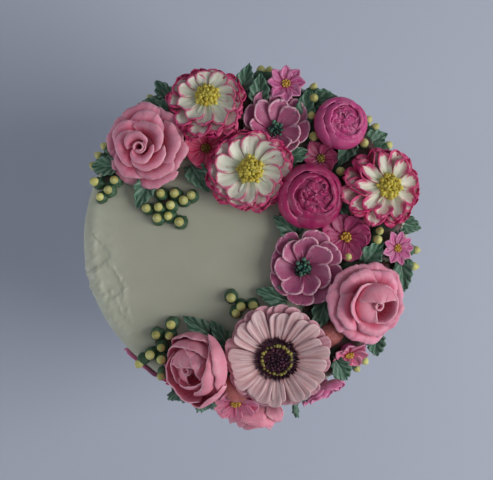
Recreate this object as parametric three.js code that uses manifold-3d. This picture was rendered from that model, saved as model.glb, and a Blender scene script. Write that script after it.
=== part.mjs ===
// A round buttercream cake under a crescent of piped flowers, on a pedestal stand.
// Millimetres, +Z up. The origin is the centre of the stand's foot, on the table, and the side
// of the cake where the flowers run down over the edge faces -Y.
import * as THREE from 'three';
import { mergeVertices } from 'three/addons/utils/BufferGeometryUtils.js';
import Module from 'manifold-3d';

const wasm = await Module();
wasm.setup();

// The stand.
const footRadius = 62;
const footThickness = 7;
const stemRadius = 12;
const plateRadius = 103;
const plateThickness = 6;
const standHeight = 96;
const standSides = 24;

// The cake.
const cakeRadius = 92;
const cakeHeight = 92;
const cakeEdgeRadius = 7;
const cakeSides = 36;

// Air left between a piece and the neighbour that it was cut by or lies on.
const gap = 0.35;

// What a cut may leave: how far its faces may be smoothed, the shortest edge and the thinnest face.
const cutSmoothing = 0.03;
const shortestEdge = 0.08;
const thinnestFace = 0.02;

// A bud: a green mound with a yellow ball on it.
const budMoundRadius = 3.5;
const budBallRadius = 2.5;
const budHeight = 7.8;
const budSides = 5;

// A flower's foot, as a share of its radius, and how far it is sunk to meet the cake.
const footShare = 0.42;
const footSink = 1.5;

// Sides of the round hull that stands for the room that a flower takes.
const hullSides = 12;

// How far a blossom's petals draw in at their sides: to a point, or hardly at all.
const petalPointed = 0.42;
const petalRound = 0.24;

const cakeBottom = standHeight + gap;
const cakeTop = cakeBottom + cakeHeight;

const colours = {
  ceramic: '#e9e7e1',
  icing: '#dfe0c8',
  roseBlush: '#d98aa0',
  petalWhite: '#e6e4cf',
  mauve: '#b5607f',
  magenta: '#a83a68',
  hotPink: '#c25a86',
  daisyBlush: '#dcb9bd',
  salmon: '#b86a5e',
  leafGreen: '#4f7f63',
};

const degree = Math.PI / 180;
const upward = new THREE.Vector3(0, 0, 1);

function seeded(seed) {
  let state = seed;
  return () => {
    state = (state + 0x6d2b79f5) | 0;
    let mixed = Math.imul(state ^ (state >>> 15), 1 | state);
    mixed = (mixed + Math.imul(mixed ^ (mixed >>> 7), 61 | mixed)) ^ mixed;
    return ((mixed ^ (mixed >>> 14)) >>> 0) / 4294967296;
  };
}

// An uneven share near 1 for each of a number of petals.
function unevenness(count, amount, seed) {
  const random = seeded(seed);
  return Array.from({ length: count }, () => 1 + amount * (2 * random() - 1));
}

function solidOf(geometry) {
  geometry.deleteAttribute('normal');
  geometry.deleteAttribute('uv');
  const merged = mergeVertices(geometry, 1e-4);
  return new wasm.Manifold(new wasm.Mesh({
    numProp: 3,
    vertProperties: Float32Array.from(merged.attributes.position.array),
    triVerts: Uint32Array.from(merged.index.array),
  }));
}

function geometryOf(solid) {
  const mesh = solid.getMesh();
  const positions = Float32Array.from(mesh.vertProperties);
  const geometry = new THREE.BufferGeometry();
  geometry.setAttribute('position', new THREE.BufferAttribute(positions, 3));
  geometry.setIndex(Array.from(mesh.triVerts));
  geometry.computeVertexNormals();
  return geometry;
}

function geometryFrom(positions, index) {
  const geometry = new THREE.BufferGeometry();
  geometry.setAttribute('position', new THREE.Float32BufferAttribute(positions, 3));
  geometry.setIndex(index);
  return geometry;
}

// The largest of the bodies that a cut leaves.
function largestBody(solid) {
  return solid.decompose().reduce((best, body) => (body.volume() > best.volume() ? body : best));
}

// The largest body of what cuts leave, mended: an edge shorter than the shortest is drawn together,
// and a face thinner than the thinnest gives up its long edge, wherever the mesh stays closed.
function mended(solid) {
  const mesh = largestBody(solid.simplify(cutSmoothing)).getMesh();
  const points = [];
  let faces = [];
  for (let n = 0; n < mesh.vertProperties.length; n += 3) {
    points.push(new THREE.Vector3().fromArray(mesh.vertProperties, n));
  }
  for (let n = 0; n < mesh.triVerts.length; n += 3) {
    faces.push(Array.from(mesh.triVerts.slice(n, n + 3)));
  }
  const sides = (face) => face.map((from, n) => [from, face[(n + 1) % 3], face[(n + 2) % 3]]);
  const length = (a, b) => points[a].distanceTo(points[b]);
  const around = (v) => new Set(faces.filter((face) => face.includes(v)).flat());
  const shared = (a, b) => [...around(a)].filter((v) => v !== a && v !== b && around(b).has(v));
  const shortSide = () => faces.flatMap(sides)
    .find(([a, b]) => length(a, b) < shortestEdge && shared(a, b).length === 2);
  for (let side = shortSide(); side; side = shortSide()) {
    const [kept, lost] = side;
    points[kept].lerp(points[lost], 0.5);
    faces = faces.filter((face) => !(face.includes(kept) && face.includes(lost)))
      .map((face) => face.map((v) => (v === lost ? kept : v)));
  }
  const doubleArea = ([a, b, c]) => new THREE.Vector3().subVectors(points[b], points[a])
    .cross(new THREE.Vector3().subVectors(points[c], points[a])).length();
  const longer = (a, b) => (length(a[0], a[1]) > length(b[0], b[1]) ? a : b);
  faces.forEach((face, n) => {
    const [from, to, apex] = sides(face).reduce(longer);
    if (doubleArea(face) / length(from, to) > thinnestFace) {
      return;
    }
    const m = faces.findIndex((other) => sides(other).some(([a, b]) => a === to && b === from));
    const across = faces[m].find((v) => v !== from && v !== to);
    if (!around(apex).has(across)) {
      faces[n] = [from, across, apex];
      faces[m] = [across, to, apex];
    }
  });
  const used = [...new Set(faces.flat())];
  const place = new Map(used.map((v, n) => [v, n]));
  return new wasm.Manifold(new wasm.Mesh({
    numProp: 3,
    vertProperties: Float32Array.from(used.flatMap((v) => points[v].toArray())),
    triVerts: Uint32Array.from(faces.flat().map((v) => place.get(v))),
  }));
}

// A solid of revolution about Z from a profile of [radius, height] that goes up from the axis.
function turned(profile, sides) {
  const points = profile.map(([radius, height]) => new THREE.Vector2(radius, height));
  return solidOf(new THREE.LatheGeometry(points, sides).rotateX(Math.PI / 2));
}

function ellipsoid(radii, sides, bands) {
  return new THREE.SphereGeometry(1, sides, bands).rotateX(Math.PI / 2).scale(...radii);
}

// A flower as one closed skin, folded in and out from the top of its middle to its foot.
// Every ring has its radius and height, and may have petals: the notch draws the ring in between
// them, the fold lifts it there, the lap tips each petal over the next, and the turn, in petals,
// shifts them round. All measures are shares of the flower's radius. The foot is sunk, in
// millimetres, to meet the cake.
function flowerSkin(size, sunk, segments, middle, rings, seed) {
  const positions = [0, 0, middle * size];
  const index = [];
  rings.forEach((ring, n) => {
    const petals = ring.petals ?? 1;
    const reach = unevenness(petals, ring.uneven ?? 0, seed + n);
    const drop = ring.foot ? sunk / size : 0;
    for (let s = 0; s < segments; s += 1) {
      const along = (s * petals) / segments;
      const across = along % 1;
      const side = Math.abs(2 * across - 1);
      const radius = ring.r * reach[Math.floor(along)] * (1 - (ring.notch ?? 0) * side ** 3);
      const tip = across < 1e-6 ? 0 : (ring.lap ?? 0) * (0.5 - across);
      const height = ring.z + (ring.fold ?? 0) * side ** 2 + tip - drop;
      const angle = 2 * Math.PI * (s / segments + (ring.turn ?? 0) / petals);
      positions.push(radius * size * Math.cos(angle), radius * size * Math.sin(angle), height * size);
    }
  });
  const first = (n) => 1 + n * segments;
  const last = positions.length / 3;
  positions.push(0, 0, rings[rings.length - 1].z * size - sunk);
  for (let s = 0; s < segments; s += 1) {
    const next = (s + 1) % segments;
    index.push(0, first(0) + s, first(0) + next);
    for (let n = 0; n + 1 < rings.length; n += 1) {
      index.push(first(n) + s, first(n + 1) + s, first(n + 1) + next);
      index.push(first(n) + s, first(n + 1) + next, first(n) + next);
    }
    index.push(first(rings.length - 1) + s, last, first(rings.length - 1) + next);
  }
  return solidOf(geometryFrom(positions, index));
}

function rose(size, sunk, seed) {
  const wide = { petals: 5, notch: 0.14, lap: 0.08, uneven: 0.05 };
  const close = { petals: 4, notch: 0.12, lap: 0.1, uneven: 0.04 };
  return flowerSkin(size, sunk, 20, 0.7, [
    { r: 0.1, z: 0.84 },
    { r: 0.16, z: 0.68 },
    { r: 0.31, z: 0.83, ...close, turn: 0.4 },
    { r: 0.32, z: 0.54 },
    { r: 0.54, z: 0.74, ...close },
    { r: 0.52, z: 0.42 },
    { r: 0.8, z: 0.58, ...wide, turn: 0.5 },
    { r: 0.68, z: 0.34 },
    { r: 1, z: 0.34, ...wide },
    { r: footShare, z: 0, foot: true },
  ], seed);
}

function dahlia(size, sunk, seed) {
  const petals = { petals: 10, notch: 0.18, fold: 0.05, uneven: 0.04 };
  return flowerSkin(size, sunk, 30, 0.58, [
    { r: 0.22, z: 0.54 },
    { r: 0.33, z: 0.4, turn: 0.5 / 10 },
    { r: 0.57, z: 0.43, petals: 10, fold: 0.06, turn: 0.5 },
    { r: 0.84, z: 0.52, ...petals, turn: 0.5 },
    { r: 0.62, z: 0.26, turn: 0.5 / 10 },
    { r: 1, z: 0.34, ...petals },
    { r: footShare, z: 0, foot: true },
  ], seed);
}

function anemone(size, sunk, seed) {
  return flowerSkin(size, sunk, 24, 0.42, [
    { r: 0.22, z: 0.38 },
    { r: 0.28, z: 0.24 },
    { r: 0.56, z: 0.36, petals: 6, fold: -0.03, lap: 0.08 },
    { r: 0.8, z: 0.52, petals: 6, notch: 0.24, fold: -0.05, lap: 0.16, uneven: 0.05 },
    { r: 0.5, z: 0.22 },
    { r: 1, z: 0.36, petals: 8, notch: 0.16, fold: -0.03, lap: 0.12, uneven: 0.05 },
    { r: footShare, z: 0, foot: true },
  ], seed);
}

function daisy(size, sunk, seed) {
  const petals = { petals: 26, notch: 0.1, fold: -0.03, uneven: 0.03 };
  return flowerSkin(size, sunk, 52, 0.34, [
    { r: 0.16, z: 0.31 },
    { r: 0.3, z: 0.35 },
    { r: 0.41, z: 0.26 },
    { r: 0.88, z: 0.37, ...petals, turn: 0.5 },
    { r: 0.72, z: 0.22, turn: 0.5 / 26 },
    { r: 1, z: 0.27, ...petals },
    { r: footShare, z: 0, foot: true },
  ], seed);
}

// A small open flower: pointed or round petals about a raised eye.
function blossomWith(petals, notch) {
  return (size, sunk, seed) => flowerSkin(size, sunk, 3 * petals, 0.4, [
    { r: 0.24, z: 0.26 },
    { r: 1, z: 0.42, petals, notch, fold: -0.06, lap: 0.1, uneven: 0.07 },
    { r: footShare, z: 0, foot: true },
  ], seed);
}

// A flower of one ruffled ring, half opened.
function ruffle(size, sunk, seed) {
  return flowerSkin(size, sunk, 24, 0.42, [
    { r: 0.2, z: 0.38 },
    { r: 0.26, z: 0.2 },
    { r: 1, z: 0.5, petals: 6, notch: 0.2, fold: -0.08, lap: 0.2, uneven: 0.06 },
    { r: footShare, z: 0, foot: true },
  ], seed);
}

// A ball of petals wrapped round each other: each starts a step out from the last one.
function ranunculus(size, sunk, seed) {
  const wrapped = (r, z, turn) => ({ r, z, turn, petals: 5, notch: 0.09, lap: 0, uneven: 0.03 });
  return flowerSkin(size, sunk, 20, 0.9, [
    { r: 0.18, z: 1.02 },
    wrapped(0.46, 1, 1),
    wrapped(0.5, 0.9, 0.9),
    wrapped(0.84, 0.78, 0.5),
    wrapped(1.02, 0.48, 0.2),
    { r: 0.9, z: 0.2 },
    { r: 0.55, z: 0, foot: true },
  ], seed);
}

// Draws a flower's middle aside by shares of its radius, while its outermost petals stay.
function heartMoved(solid, size, [x, y]) {
  return solid.warp((point) => {
    const share = Math.max(0, 1 - (point[0] ** 2 + point[1] ** 2) / size ** 2);
    point[0] += x * size * share;
    point[1] += y * size * share;
  });
}

// A mound of plain buttercream that props up the flowers round it.
function mound(size) {
  return solidOf(ellipsoid([size, size, 0.8 * size], 10, 6));
}

// A pointed leaf along +X, folded up along its midrib, with a wavy edge. Both faces are split
// into triangles alike and meet along the edge. Swell grows it on all sides.
function leaf(length, width, seed, swell) {
  const wave = unevenness(4, 0.3, seed);
  const arch = (u) => 0.16 * length * Math.sin(0.9 * Math.PI * u);
  const halfWidth = (u) => width * (0.23 + 0.87 * u - 1.1 * u * u);
  const positions = [];
  const index = [];
  const point = (x, y, z) => {
    positions.push(x - 0.5 * length, y, z);
    return positions.length / 3 - 1;
  };
  const rows = [0, 0.28, 0.52, 0.76].map((u, n) => {
    const x = u * length - (n === 0 ? swell : 0);
    const spread = halfWidth(u) * wave[n] + swell;
    const ripple = 0.06 * width * (n % 2 ? 1 : -1);
    const lifted = arch(u) + 0.1 * width;
    const top = point(x, 0, arch(u) + (n === 0 ? 0 : 0.7 + swell));
    return {
      top,
      under: n === 0 ? top : point(x, 0, arch(u) - 0.7 - swell),
      left: point(x, spread, lifted + ripple),
      right: point(x, -spread, lifted - ripple),
    };
  });
  const tip = point(length + swell, 0, arch(1));
  const quad = (a, b, c, d) => {
    index.push(a, b, c, a, c, d);
  };
  rows.slice(0, -1).forEach((near, n) => {
    const far = rows[n + 1];
    quad(near.top, far.top, far.left, near.left);
    quad(near.right, far.right, far.top, near.top);
    quad(near.under, near.left, far.left, far.under);
    quad(near.right, near.under, far.under, far.right);
  });
  const last = rows[rows.length - 1];
  index.push(last.top, tip, last.left, last.right, tip, last.top);
  index.push(last.left, tip, last.under, last.under, tip, last.right);
  return solidOf(geometryFrom(positions, index));
}

function bud() {
  return turned([
    [0, -1.2], [budMoundRadius, -1.2], [0.85 * budMoundRadius, 2.6],
    [budBallRadius, budHeight - 2], [0, budHeight],
  ], budSides);
}

// The cake's bare form, grown on all sides by a margin.
function cakeForm(margin) {
  const profile = [[0, cakeBottom - margin], [cakeRadius + margin, cakeBottom - margin]];
  const steps = 3;
  for (let n = 0; n <= steps; n += 1) {
    const angle = (0.5 * Math.PI * n) / steps;
    profile.push([
      cakeRadius - cakeEdgeRadius + (cakeEdgeRadius + margin) * Math.cos(angle),
      cakeTop - cakeEdgeRadius + (cakeEdgeRadius + margin) * Math.sin(angle),
    ]);
  }
  profile.push([0, cakeTop + margin]);
  return turned(profile, cakeSides);
}

// Height of the cake's surface at a distance from its axis.
function surfaceHeight(distance) {
  const past = Math.min(1, Math.max(0, (distance - cakeRadius) / cakeEdgeRadius + 1));
  return cakeTop - cakeEdgeRadius * (1 - Math.sqrt(1 - past * past));
}

// A holder at a place, its +Z leaning by an angle towards a direction seen from above.
function holderAt({ x, y, z, lean = 0, towards = 0, turn = 0 }) {
  const holder = new THREE.Object3D();
  const axis = new THREE.Vector3(-Math.sin(towards * degree), Math.cos(towards * degree), 0);
  const tipped = new THREE.Quaternion().setFromAxisAngle(axis, lean * degree);
  const spun = new THREE.Quaternion().setFromAxisAngle(upward, turn * degree);
  holder.position.set(x, y, z);
  holder.quaternion.multiplyQuaternions(tipped, spun);
  holder.updateMatrix();
  return holder;
}

// The room that a solid needs: a round hull about its own axis, grown by the gap. Each of its
// slanted faces just clears the solid.
function roundHull(solid, sides) {
  const slants = [-90, -52, -18, 20, 56, 90].map((angle) => angle * degree);
  const points = solid.getMesh().vertProperties;
  const reach = slants.map((slant) => {
    let furthest = -Infinity;
    for (let n = 0; n < points.length; n += 3) {
      const radius = Math.hypot(points[n], points[n + 1]);
      furthest = Math.max(furthest, radius * Math.cos(slant) + points[n + 2] * Math.sin(slant));
    }
    return furthest + gap;
  });
  const stretch = 1 / Math.cos(Math.PI / sides);
  const corners = slants.slice(1).map((slant, n) => {
    const before = slants[n];
    const width = Math.sin(slant - before);
    const radius = (reach[n] * Math.sin(slant) - reach[n + 1] * Math.sin(before)) / width;
    const height = (reach[n + 1] * Math.cos(before) - reach[n] * Math.cos(slant)) / width;
    return [radius * stretch, height];
  });
  const bottom = corners[0][1];
  const top = corners[corners.length - 1][1];
  return turned([[0, bottom], ...corners, [0, top]], sides);
}

const model = new THREE.Group();
const cakeRoom = cakeForm(gap);
const taken = [];

function meshOf(name, solid, colour, roughness) {
  const material = new THREE.MeshStandardMaterial({ color: colour, roughness, metalness: 0 });
  const mesh = new THREE.Mesh(geometryOf(solid), material);
  mesh.name = name;
  return mesh;
}

// Adds a piece where its holder stands, cut clear of the cake and of the pieces before it.
function addPiece(name, solid, room, place, colour) {
  const holder = holderAt(place);
  const there = holder.matrix.toArray();
  const back = holder.matrix.clone().invert().toArray();
  const cut = taken.reduce(
    (rest, space) => rest.subtract(space),
    solid.transform(there).subtract(cakeRoom),
  );
  taken.push(room.transform(there));
  const mesh = meshOf(name, mended(cut).transform(back), colour, 0.6);
  mesh.position.copy(holder.position);
  mesh.quaternion.copy(holder.quaternion);
  model.add(mesh);
}

// A flower on the top, its foot sunk to meet the cake however it leans.
function addTopFlower({ name, make, size, seed, colour, heart = [0, 0], lift = 0, lean = 0, ...place }) {
  const foot = footShare * size;
  const edge = surfaceHeight(Math.min(Math.hypot(place.x, place.y) + foot, cakeRadius - 1));
  const sunk = cakeTop - edge + lift + foot * Math.sin(lean * degree) + footSink;
  const solid = heartMoved(make(size, sunk, seed), size, heart);
  addPiece(name, solid, roundHull(solid, hullSides), { ...place, lean, z: cakeTop + lift }, colour);
}

// A flower on the wall, at an angle round the cake and a depth under the top, turned up a little.
// It may be lifted off the wall on a longer foot, or pressed flat.
function addWallFlower({ name, make, size, seed, colour, angle, depth, upturn, lift = 0, flat = 1 }) {
  const sunk = footShare * size * Math.sin(upturn * degree) + footSink + lift;
  const solid = make(size, sunk / flat, seed).scale([1, 1, flat]);
  const place = {
    x: (cakeRadius + lift) * Math.cos(angle * degree),
    y: (cakeRadius + lift) * Math.sin(angle * degree),
    z: cakeTop - depth,
    lean: 90 - upturn,
    towards: angle,
  };
  addPiece(name, solid, roundHull(solid, hullSides), place, colour);
}

// The stand: a flat foot, a waisted stem and a plate with a low rim, as one solid.
function stand() {
  const plateUnder = standHeight - plateThickness;
  const waist = new THREE.CubicBezierCurve(
    new THREE.Vector2(2.4 * stemRadius, 2 * footThickness),
    new THREE.Vector2(0.8 * stemRadius, 3 * footThickness),
    new THREE.Vector2(0.8 * stemRadius, 0.8 * plateUnder),
    new THREE.Vector2(2.6 * stemRadius, plateUnder - 5),
  );
  return turned([
    [0, 0], [footRadius - 2, 0], [footRadius, 2], [footRadius - 3, footThickness],
    ...waist.getPoints(3).map((point) => [point.x, point.y]),
    [plateRadius - 6, plateUnder], [plateRadius, standHeight - 1],
    [plateRadius - 1.5, standHeight + 1.5], [plateRadius - 4, standHeight], [0, standHeight],
  ], standSides);
}

// The big flowers, those that lie over their neighbours first.
const bigFlowers = [
  {
    name: 'rose_left', make: rose, size: 23, x: -54.9, y: 52.7, lean: 10, towards: 205, turn: 20,
    heart: [-0.09, 0],
  },
  {
    name: 'dahlia_top', make: dahlia, size: 21.5, x: -22.6, y: 73.3, lift: 3, lean: 22, towards: 95,
    heart: [0.01, 0.19],
  },
  { name: 'dahlia_mid', make: dahlia, size: 23.2, x: 1.9, y: 39, lift: 4, lean: 3, towards: 250 },
  {
    name: 'rose_right', make: rose, size: 23, x: 65, y: -33.9, lift: 2, lean: 16, towards: 345,
    heart: [0.13, -0.08],
  },
  {
    name: 'dahlia_right', make: dahlia, size: 22.2, x: 73.4, y: 28.6, lift: 2, lean: 18, towards: 10,
    heart: [0.18, 0.02],
  },
  {
    name: 'daisy', make: daisy, size: 29.2, x: 17.3, y: -63.9, lift: 5, lean: 8, towards: 270,
    heart: [-0.03, -0.07],
  },
  { name: 'rose_low', make: rose, size: 22.6, x: -21.8, y: -70.3, lift: 5, lean: 42, towards: 190 },
  {
    name: 'ranunculus_mid', make: ranunculus, size: 17.2, x: 35.5, y: 24.2, lean: 4, towards: 300,
    heart: [0.14, 0.1],
  },
  {
    name: 'ranunculus_right', make: ranunculus, size: 14.4, x: 51.6, y: 63.4, lean: 15, towards: 45,
    heart: [0.05, 0.08],
  },
  {
    name: 'anemone_low', make: anemone, size: 20.8, x: 33.6, y: -16.2, lift: 1, lean: 4, towards: 180,
    heart: [-0.09, 0],
  },
  {
    name: 'anemone_top', make: anemone, size: 18.8, x: 15.7, y: 64.6, lean: 8, towards: 60,
    heart: [0, -0.19],
  },
];
const flowerColours = new Map([
  [rose, colours.roseBlush], [dahlia, colours.petalWhite], [daisy, colours.daisyBlush],
  [ranunculus, colours.magenta], [anemone, colours.mauve],
]);

// The small blossoms between them, with the number of petals that each has.
const blossoms = [
  { name: 'blossom_top', petals: 8, notch: petalPointed, size: 11, x: 21.9, y: 87, lean: 14, towards: 80 },
  { name: 'blossom_arch', petals: 6, notch: petalPointed, size: 10.5, x: 41.7, y: 45.6 },
  { name: 'blossom_mid', petals: 8, notch: petalRound, size: 13.2, x: 55.8, y: 1.1, turn: 15 },
  {
    name: 'blossom_edge', petals: 9, notch: petalPointed, size: 9.8, x: 84.2, y: -5.1, lean: 20,
    towards: 355,
  },
  { name: 'blossom_under', petals: 6, notch: petalRound, size: 12.4, x: -23.2, y: 51.3, turn: 30 },
  {
    name: 'blossom_corner', petals: 7, notch: petalPointed, size: 11.2, x: 57.5, y: -63.5, lean: 46,
    towards: 285,
  },
];

// The flowers on the wall under the front edge.
const wallFlowers = [
  { name: 'side_rose', make: rose, size: 16.5, angle: -87, depth: 23, upturn: 10, lift: 5 },
  { name: 'side_dahlia', make: dahlia, size: 17, angle: -114, depth: 28, upturn: 4, flat: 0.6 },
  { name: 'side_ruffle_left', make: ruffle, size: 13, angle: -131, depth: 17, upturn: 4, flat: 0.55 },
  { name: 'side_ruffle_right', make: ruffle, size: 14, angle: -63.8, depth: 19, upturn: 14, lift: 3 },
  { name: 'side_blossom', make: blossomWith(7, petalRound), size: 12.5, angle: -94, depth: 7, upturn: 48 },
];

// Mounds of buttercream that prop up the flowers beside them: place on the top, and radius.
const mounds = [
  { name: 'mound_front', x: -5.5, y: -84, size: 9 },
  { name: 'mound_corner', x: 47, y: -54, size: 8 },
];

// Leaves: the middle of each, the way its tip points, and how steeply it droops.
const leafLength = 17;
const leafWidth = 10.5;
const leaves = [
  { x: -47, y: 83, points: 125, droop: 12 }, { x: -53, y: 76.5, points: 165, droop: 20 },
  { x: -45.5, y: 71, points: 118, droop: 0 }, { x: -80.5, y: 41, points: 185, droop: 24 },
  { x: -58.8, y: 26.3, points: 242, droop: 6 }, { x: -27, y: 34, points: 300, droop: 0 },
  { x: -1, y: 90.8, points: 76, droop: 18 }, { x: 7, y: 85, points: 84, droop: 8 },
  { x: 33.5, y: 75, points: 78, droop: 0 }, { x: 44.5, y: 79, points: 5, droop: 10 },
  { x: 27.5, y: 47, points: 0, droop: 0 }, { x: 55.8, y: 48.4, points: 250, droop: 4 },
  { x: 73, y: 56.5, points: 25, droop: 14 }, { x: 92, y: 8, points: 342, droop: 22 },
  { x: 57, y: 17, points: 300, droop: 0 }, { x: 22, y: 7.5, points: 142, droop: 4 },
  { x: 71.5, y: -7.5, points: 50, droop: 0 }, { x: 88.5, y: -21, points: 280, droop: 18 },
  { x: 14, y: -32, points: 160, droop: 4 }, { x: 42, y: -43.3, points: 255, droop: 0 },
  { x: 73.5, y: -59.5, points: 285, droop: 38 }, { x: 53.5, y: -74, points: 305, droop: 40 },
  { x: -28.5, y: -49.5, points: 150, droop: 2 }, { x: -14.5, y: -53.5, points: 118, droop: 2 },
  { x: -38.5, y: -88, points: 262, droop: 62 }, { x: -24, y: -93.5, points: 285, droop: 66 },
  { x: 27, y: -94, points: 335, droop: 86 },
];

// Buds in their sprays, as [x, y] of each yellow ball, and a depth under the top where it grows
// out of the wall.
const budSprays = {
  left: [[-82.7, 53.8, 7], [-84.6, 47.7, 7], [-88.3, 42.2, 7], [-86.3, 32.4], [-74.8, 33.2], [-78.3, 27.6],
    [-82.9, 23.7]],
  underRose: [[-48.8, 25.8], [-41, 25.8], [-35.9, 21.9], [-31.5, 24.7], [-56.8, 17.4], [-50, 18],
    [-43.2, 19.1], [-50.7, 11.8], [-44.4, 12.9], [-38.3, 9.6]],
  back: [[-56.2, 81.8, 7], [8, 97.1, 7], [12.9, 97.1, 7], [37.9, 86.5], [37.7, 79.4], [36.5, 69.6],
    [37.6, 57.8]],
  right: [[70.4, 69.3, 7], [74.4, 64.8, 7], [65.9, 54.1], [82.6, 54.7, 7], [52.7, 38.1], [74.6, 4.6],
    [73.6, -0.4], [56.7, -10.1], [96.9, -6.3, 9], [94, -15.4, 9]],
  front: [[60.7, -71.8, 9], [66, -68.4, 9], [-9, -33.2], [-3.4, -38.2], [-6.2, -41.9], [3.4, -37.7]],
  corner: [[-42.8, -48.4], [-51.3, -54.1], [-43.8, -54.5], [-48.4, -61.3], [-54.7, -65.4],
    [-48.4, -68], [-48.7, -77.6], [-62.5, -72.3]],
};

// A bud stands on the cake's surface, or leans out over its edge to bring its ball to its place.
// One with a depth grows straight out of the wall.
function budPlace([x, y, depth]) {
  const distance = Math.hypot(x, y);
  const angle = Math.atan2(y, x);
  const hangs = depth !== undefined;
  const stands = hangs ? cakeRadius : Math.min(distance - 1, cakeRadius - 3.5);
  const reach = hangs ? 1 : Math.min(0.95, (distance - stands) / (budHeight - budBallRadius));
  return {
    x: stands * Math.cos(angle),
    y: stands * Math.sin(angle),
    z: hangs ? cakeTop - depth : surfaceHeight(stands),
    lean: Math.asin(reach) / degree,
    towards: angle / degree,
  };
}

// The cake: its bare form with the smears of the palette knife and every bud fused on.
function cakeWithBuds() {
  const smears = [
    { angle: 178, distance: 84, across: 3, along: 13 },
    { angle: 196, distance: 80, across: 2.6, along: 16 },
    { angle: 207, distance: 86, across: 2.2, along: 9 },
  ];
  let cake = smears.reduce((whole, smear) => {
    const ridge = ellipsoid([smear.across, smear.along, 1.1], 8, 4);
    const place = holderAt({
      x: smear.distance * Math.cos(smear.angle * degree),
      y: smear.distance * Math.sin(smear.angle * degree),
      z: surfaceHeight(smear.distance) - 0.2,
      turn: smear.angle,
    });
    return whole.add(solidOf(ridge).transform(place.matrix.toArray()));
  }, cakeForm(0));
  const flowerRooms = [...taken];
  Object.values(budSprays).flat().forEach((ball) => {
    const there = holderAt(budPlace(ball)).matrix.toArray();
    const shape = bud();
    const clear = flowerRooms.reduce((rest, space) => rest.subtract(space), shape.transform(there));
    cake = cake.add(clear);
    taken.push(roundHull(shape, budSides).transform(there));
  });
  return mended(cake);
}

model.add(meshOf('stand', stand(), colours.ceramic, 0.25));
bigFlowers.forEach((flower, n) => {
  addTopFlower({ ...flower, seed: 10 + n, colour: flowerColours.get(flower.make) });
});
blossoms.forEach(({ petals, notch, ...flower }, n) => {
  const colour = notch === petalRound ? colours.magenta : colours.hotPink;
  addTopFlower({ ...flower, make: blossomWith(petals, notch), seed: 60 + n, colour });
});
wallFlowers.forEach((flower, n) => {
  addWallFlower({ ...flower, seed: 80 + n, colour: flowerColours.get(flower.make) ?? colours.hotPink });
});
mounds.forEach(({ name, size, ...place }) => {
  addPiece(name, mound(size), mound(size + gap), { ...place, z: cakeTop }, colours.salmon);
});
model.add(meshOf('cake', cakeWithBuds(), colours.icing, 0.6));
leaves.forEach(({ x, y, points, droop }, n) => {
  const z = surfaceHeight(Math.hypot(x, y)) + 2;
  const place = { x, y, z, lean: droop, towards: points, turn: points };
  const shape = leaf(leafLength, leafWidth, 100 + n, 0);
  const name = `leaf_${String(n + 1).padStart(2, '0')}`;
  addPiece(name, shape, leaf(leafLength, leafWidth, 100 + n, gap), place, colours.leafGreen);
});

export default model;
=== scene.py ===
# A round buttercream cake on a white stand, with a crescent of piped flowers, buds and leaves.
# Metres, +Z up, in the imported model's frame: the stand's foot is on z = 0, the flowers run down at -Y.
import math

import bpy
import numpy as np
from mathutils import Matrix, Vector


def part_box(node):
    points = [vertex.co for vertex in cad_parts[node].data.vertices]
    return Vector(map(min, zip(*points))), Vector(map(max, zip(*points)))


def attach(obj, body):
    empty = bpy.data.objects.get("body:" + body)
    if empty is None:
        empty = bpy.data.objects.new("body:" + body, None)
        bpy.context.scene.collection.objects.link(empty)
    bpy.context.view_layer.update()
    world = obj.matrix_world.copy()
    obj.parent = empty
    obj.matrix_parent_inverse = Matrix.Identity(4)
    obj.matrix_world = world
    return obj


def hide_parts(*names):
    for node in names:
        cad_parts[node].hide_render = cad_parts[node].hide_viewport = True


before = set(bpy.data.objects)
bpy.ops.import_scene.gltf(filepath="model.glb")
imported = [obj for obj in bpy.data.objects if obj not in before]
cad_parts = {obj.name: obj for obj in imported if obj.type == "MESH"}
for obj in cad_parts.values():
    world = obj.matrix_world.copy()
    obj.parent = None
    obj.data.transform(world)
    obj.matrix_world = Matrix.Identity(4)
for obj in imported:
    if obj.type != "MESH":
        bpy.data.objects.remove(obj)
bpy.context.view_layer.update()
print("frame loaded:", len(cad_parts), "nodes")

scene = bpy.context.scene
scene.view_settings.view_transform = "Standard"  # the icing keeps its own colours

goldenAngle = math.pi * (3 - math.sqrt(5))

# The cake under the flowers. Its foot comes from the frame, and the rest from a baker's sizes.
cake = {
    "radius": 0.092,
    "height": 0.092,
    "edge": 0.007,  # radius of the rounded top edge
    "bottom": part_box("cake")[0].z,
}
cakeTop = cake["bottom"] + cake["height"]


# Shapes: every part is a dictionary of points, faces and values at the points.
def part(points, faces, **values):
    points = np.asarray(points, float).reshape(-1, 3)
    blank = {"along": 0.5, "edge": 9.0, "under": 0.0, "shade": 0.5, "mark": 0.0, "flow": (0.0, 0.0, 0.0)}
    for name, usual in blank.items():
        given = np.asarray(values.get(name, usual), float)
        size = (len(points), 3) if name == "flow" else (len(points),)
        values[name] = np.array(np.broadcast_to(given, size))
    return {"points": points, "faces": faces, **values}


def placed(shape, matrix):
    turned = np.array(matrix)
    moved = dict(shape)
    moved["points"] = shape["points"] @ turned[:3, :3].T + turned[:3, 3]
    return moved


def joined(shapes):
    whole = {name: np.concatenate([shape[name] for shape in shapes])
             for name in ("points", "along", "edge", "under", "shade", "mark", "flow")}
    faces, first = [], 0
    for shape in shapes:
        faces += [tuple(first + n for n in face) for face in shape["faces"]]
        first += len(shape["points"])
    whole["faces"] = faces
    return whole


def gridFaces(rows, columns, first=0, flip=False, wrap=False):
    faces = []
    for i in range(rows - 1):
        for j in range(columns if wrap else columns - 1):
            right = (j + 1) % columns
            face = (i * columns + j, (i + 1) * columns + j, (i + 1) * columns + right,
                    i * columns + right)
            faces.append(tuple(first + n for n in (face[::-1] if flip else face)))
    return faces


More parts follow.
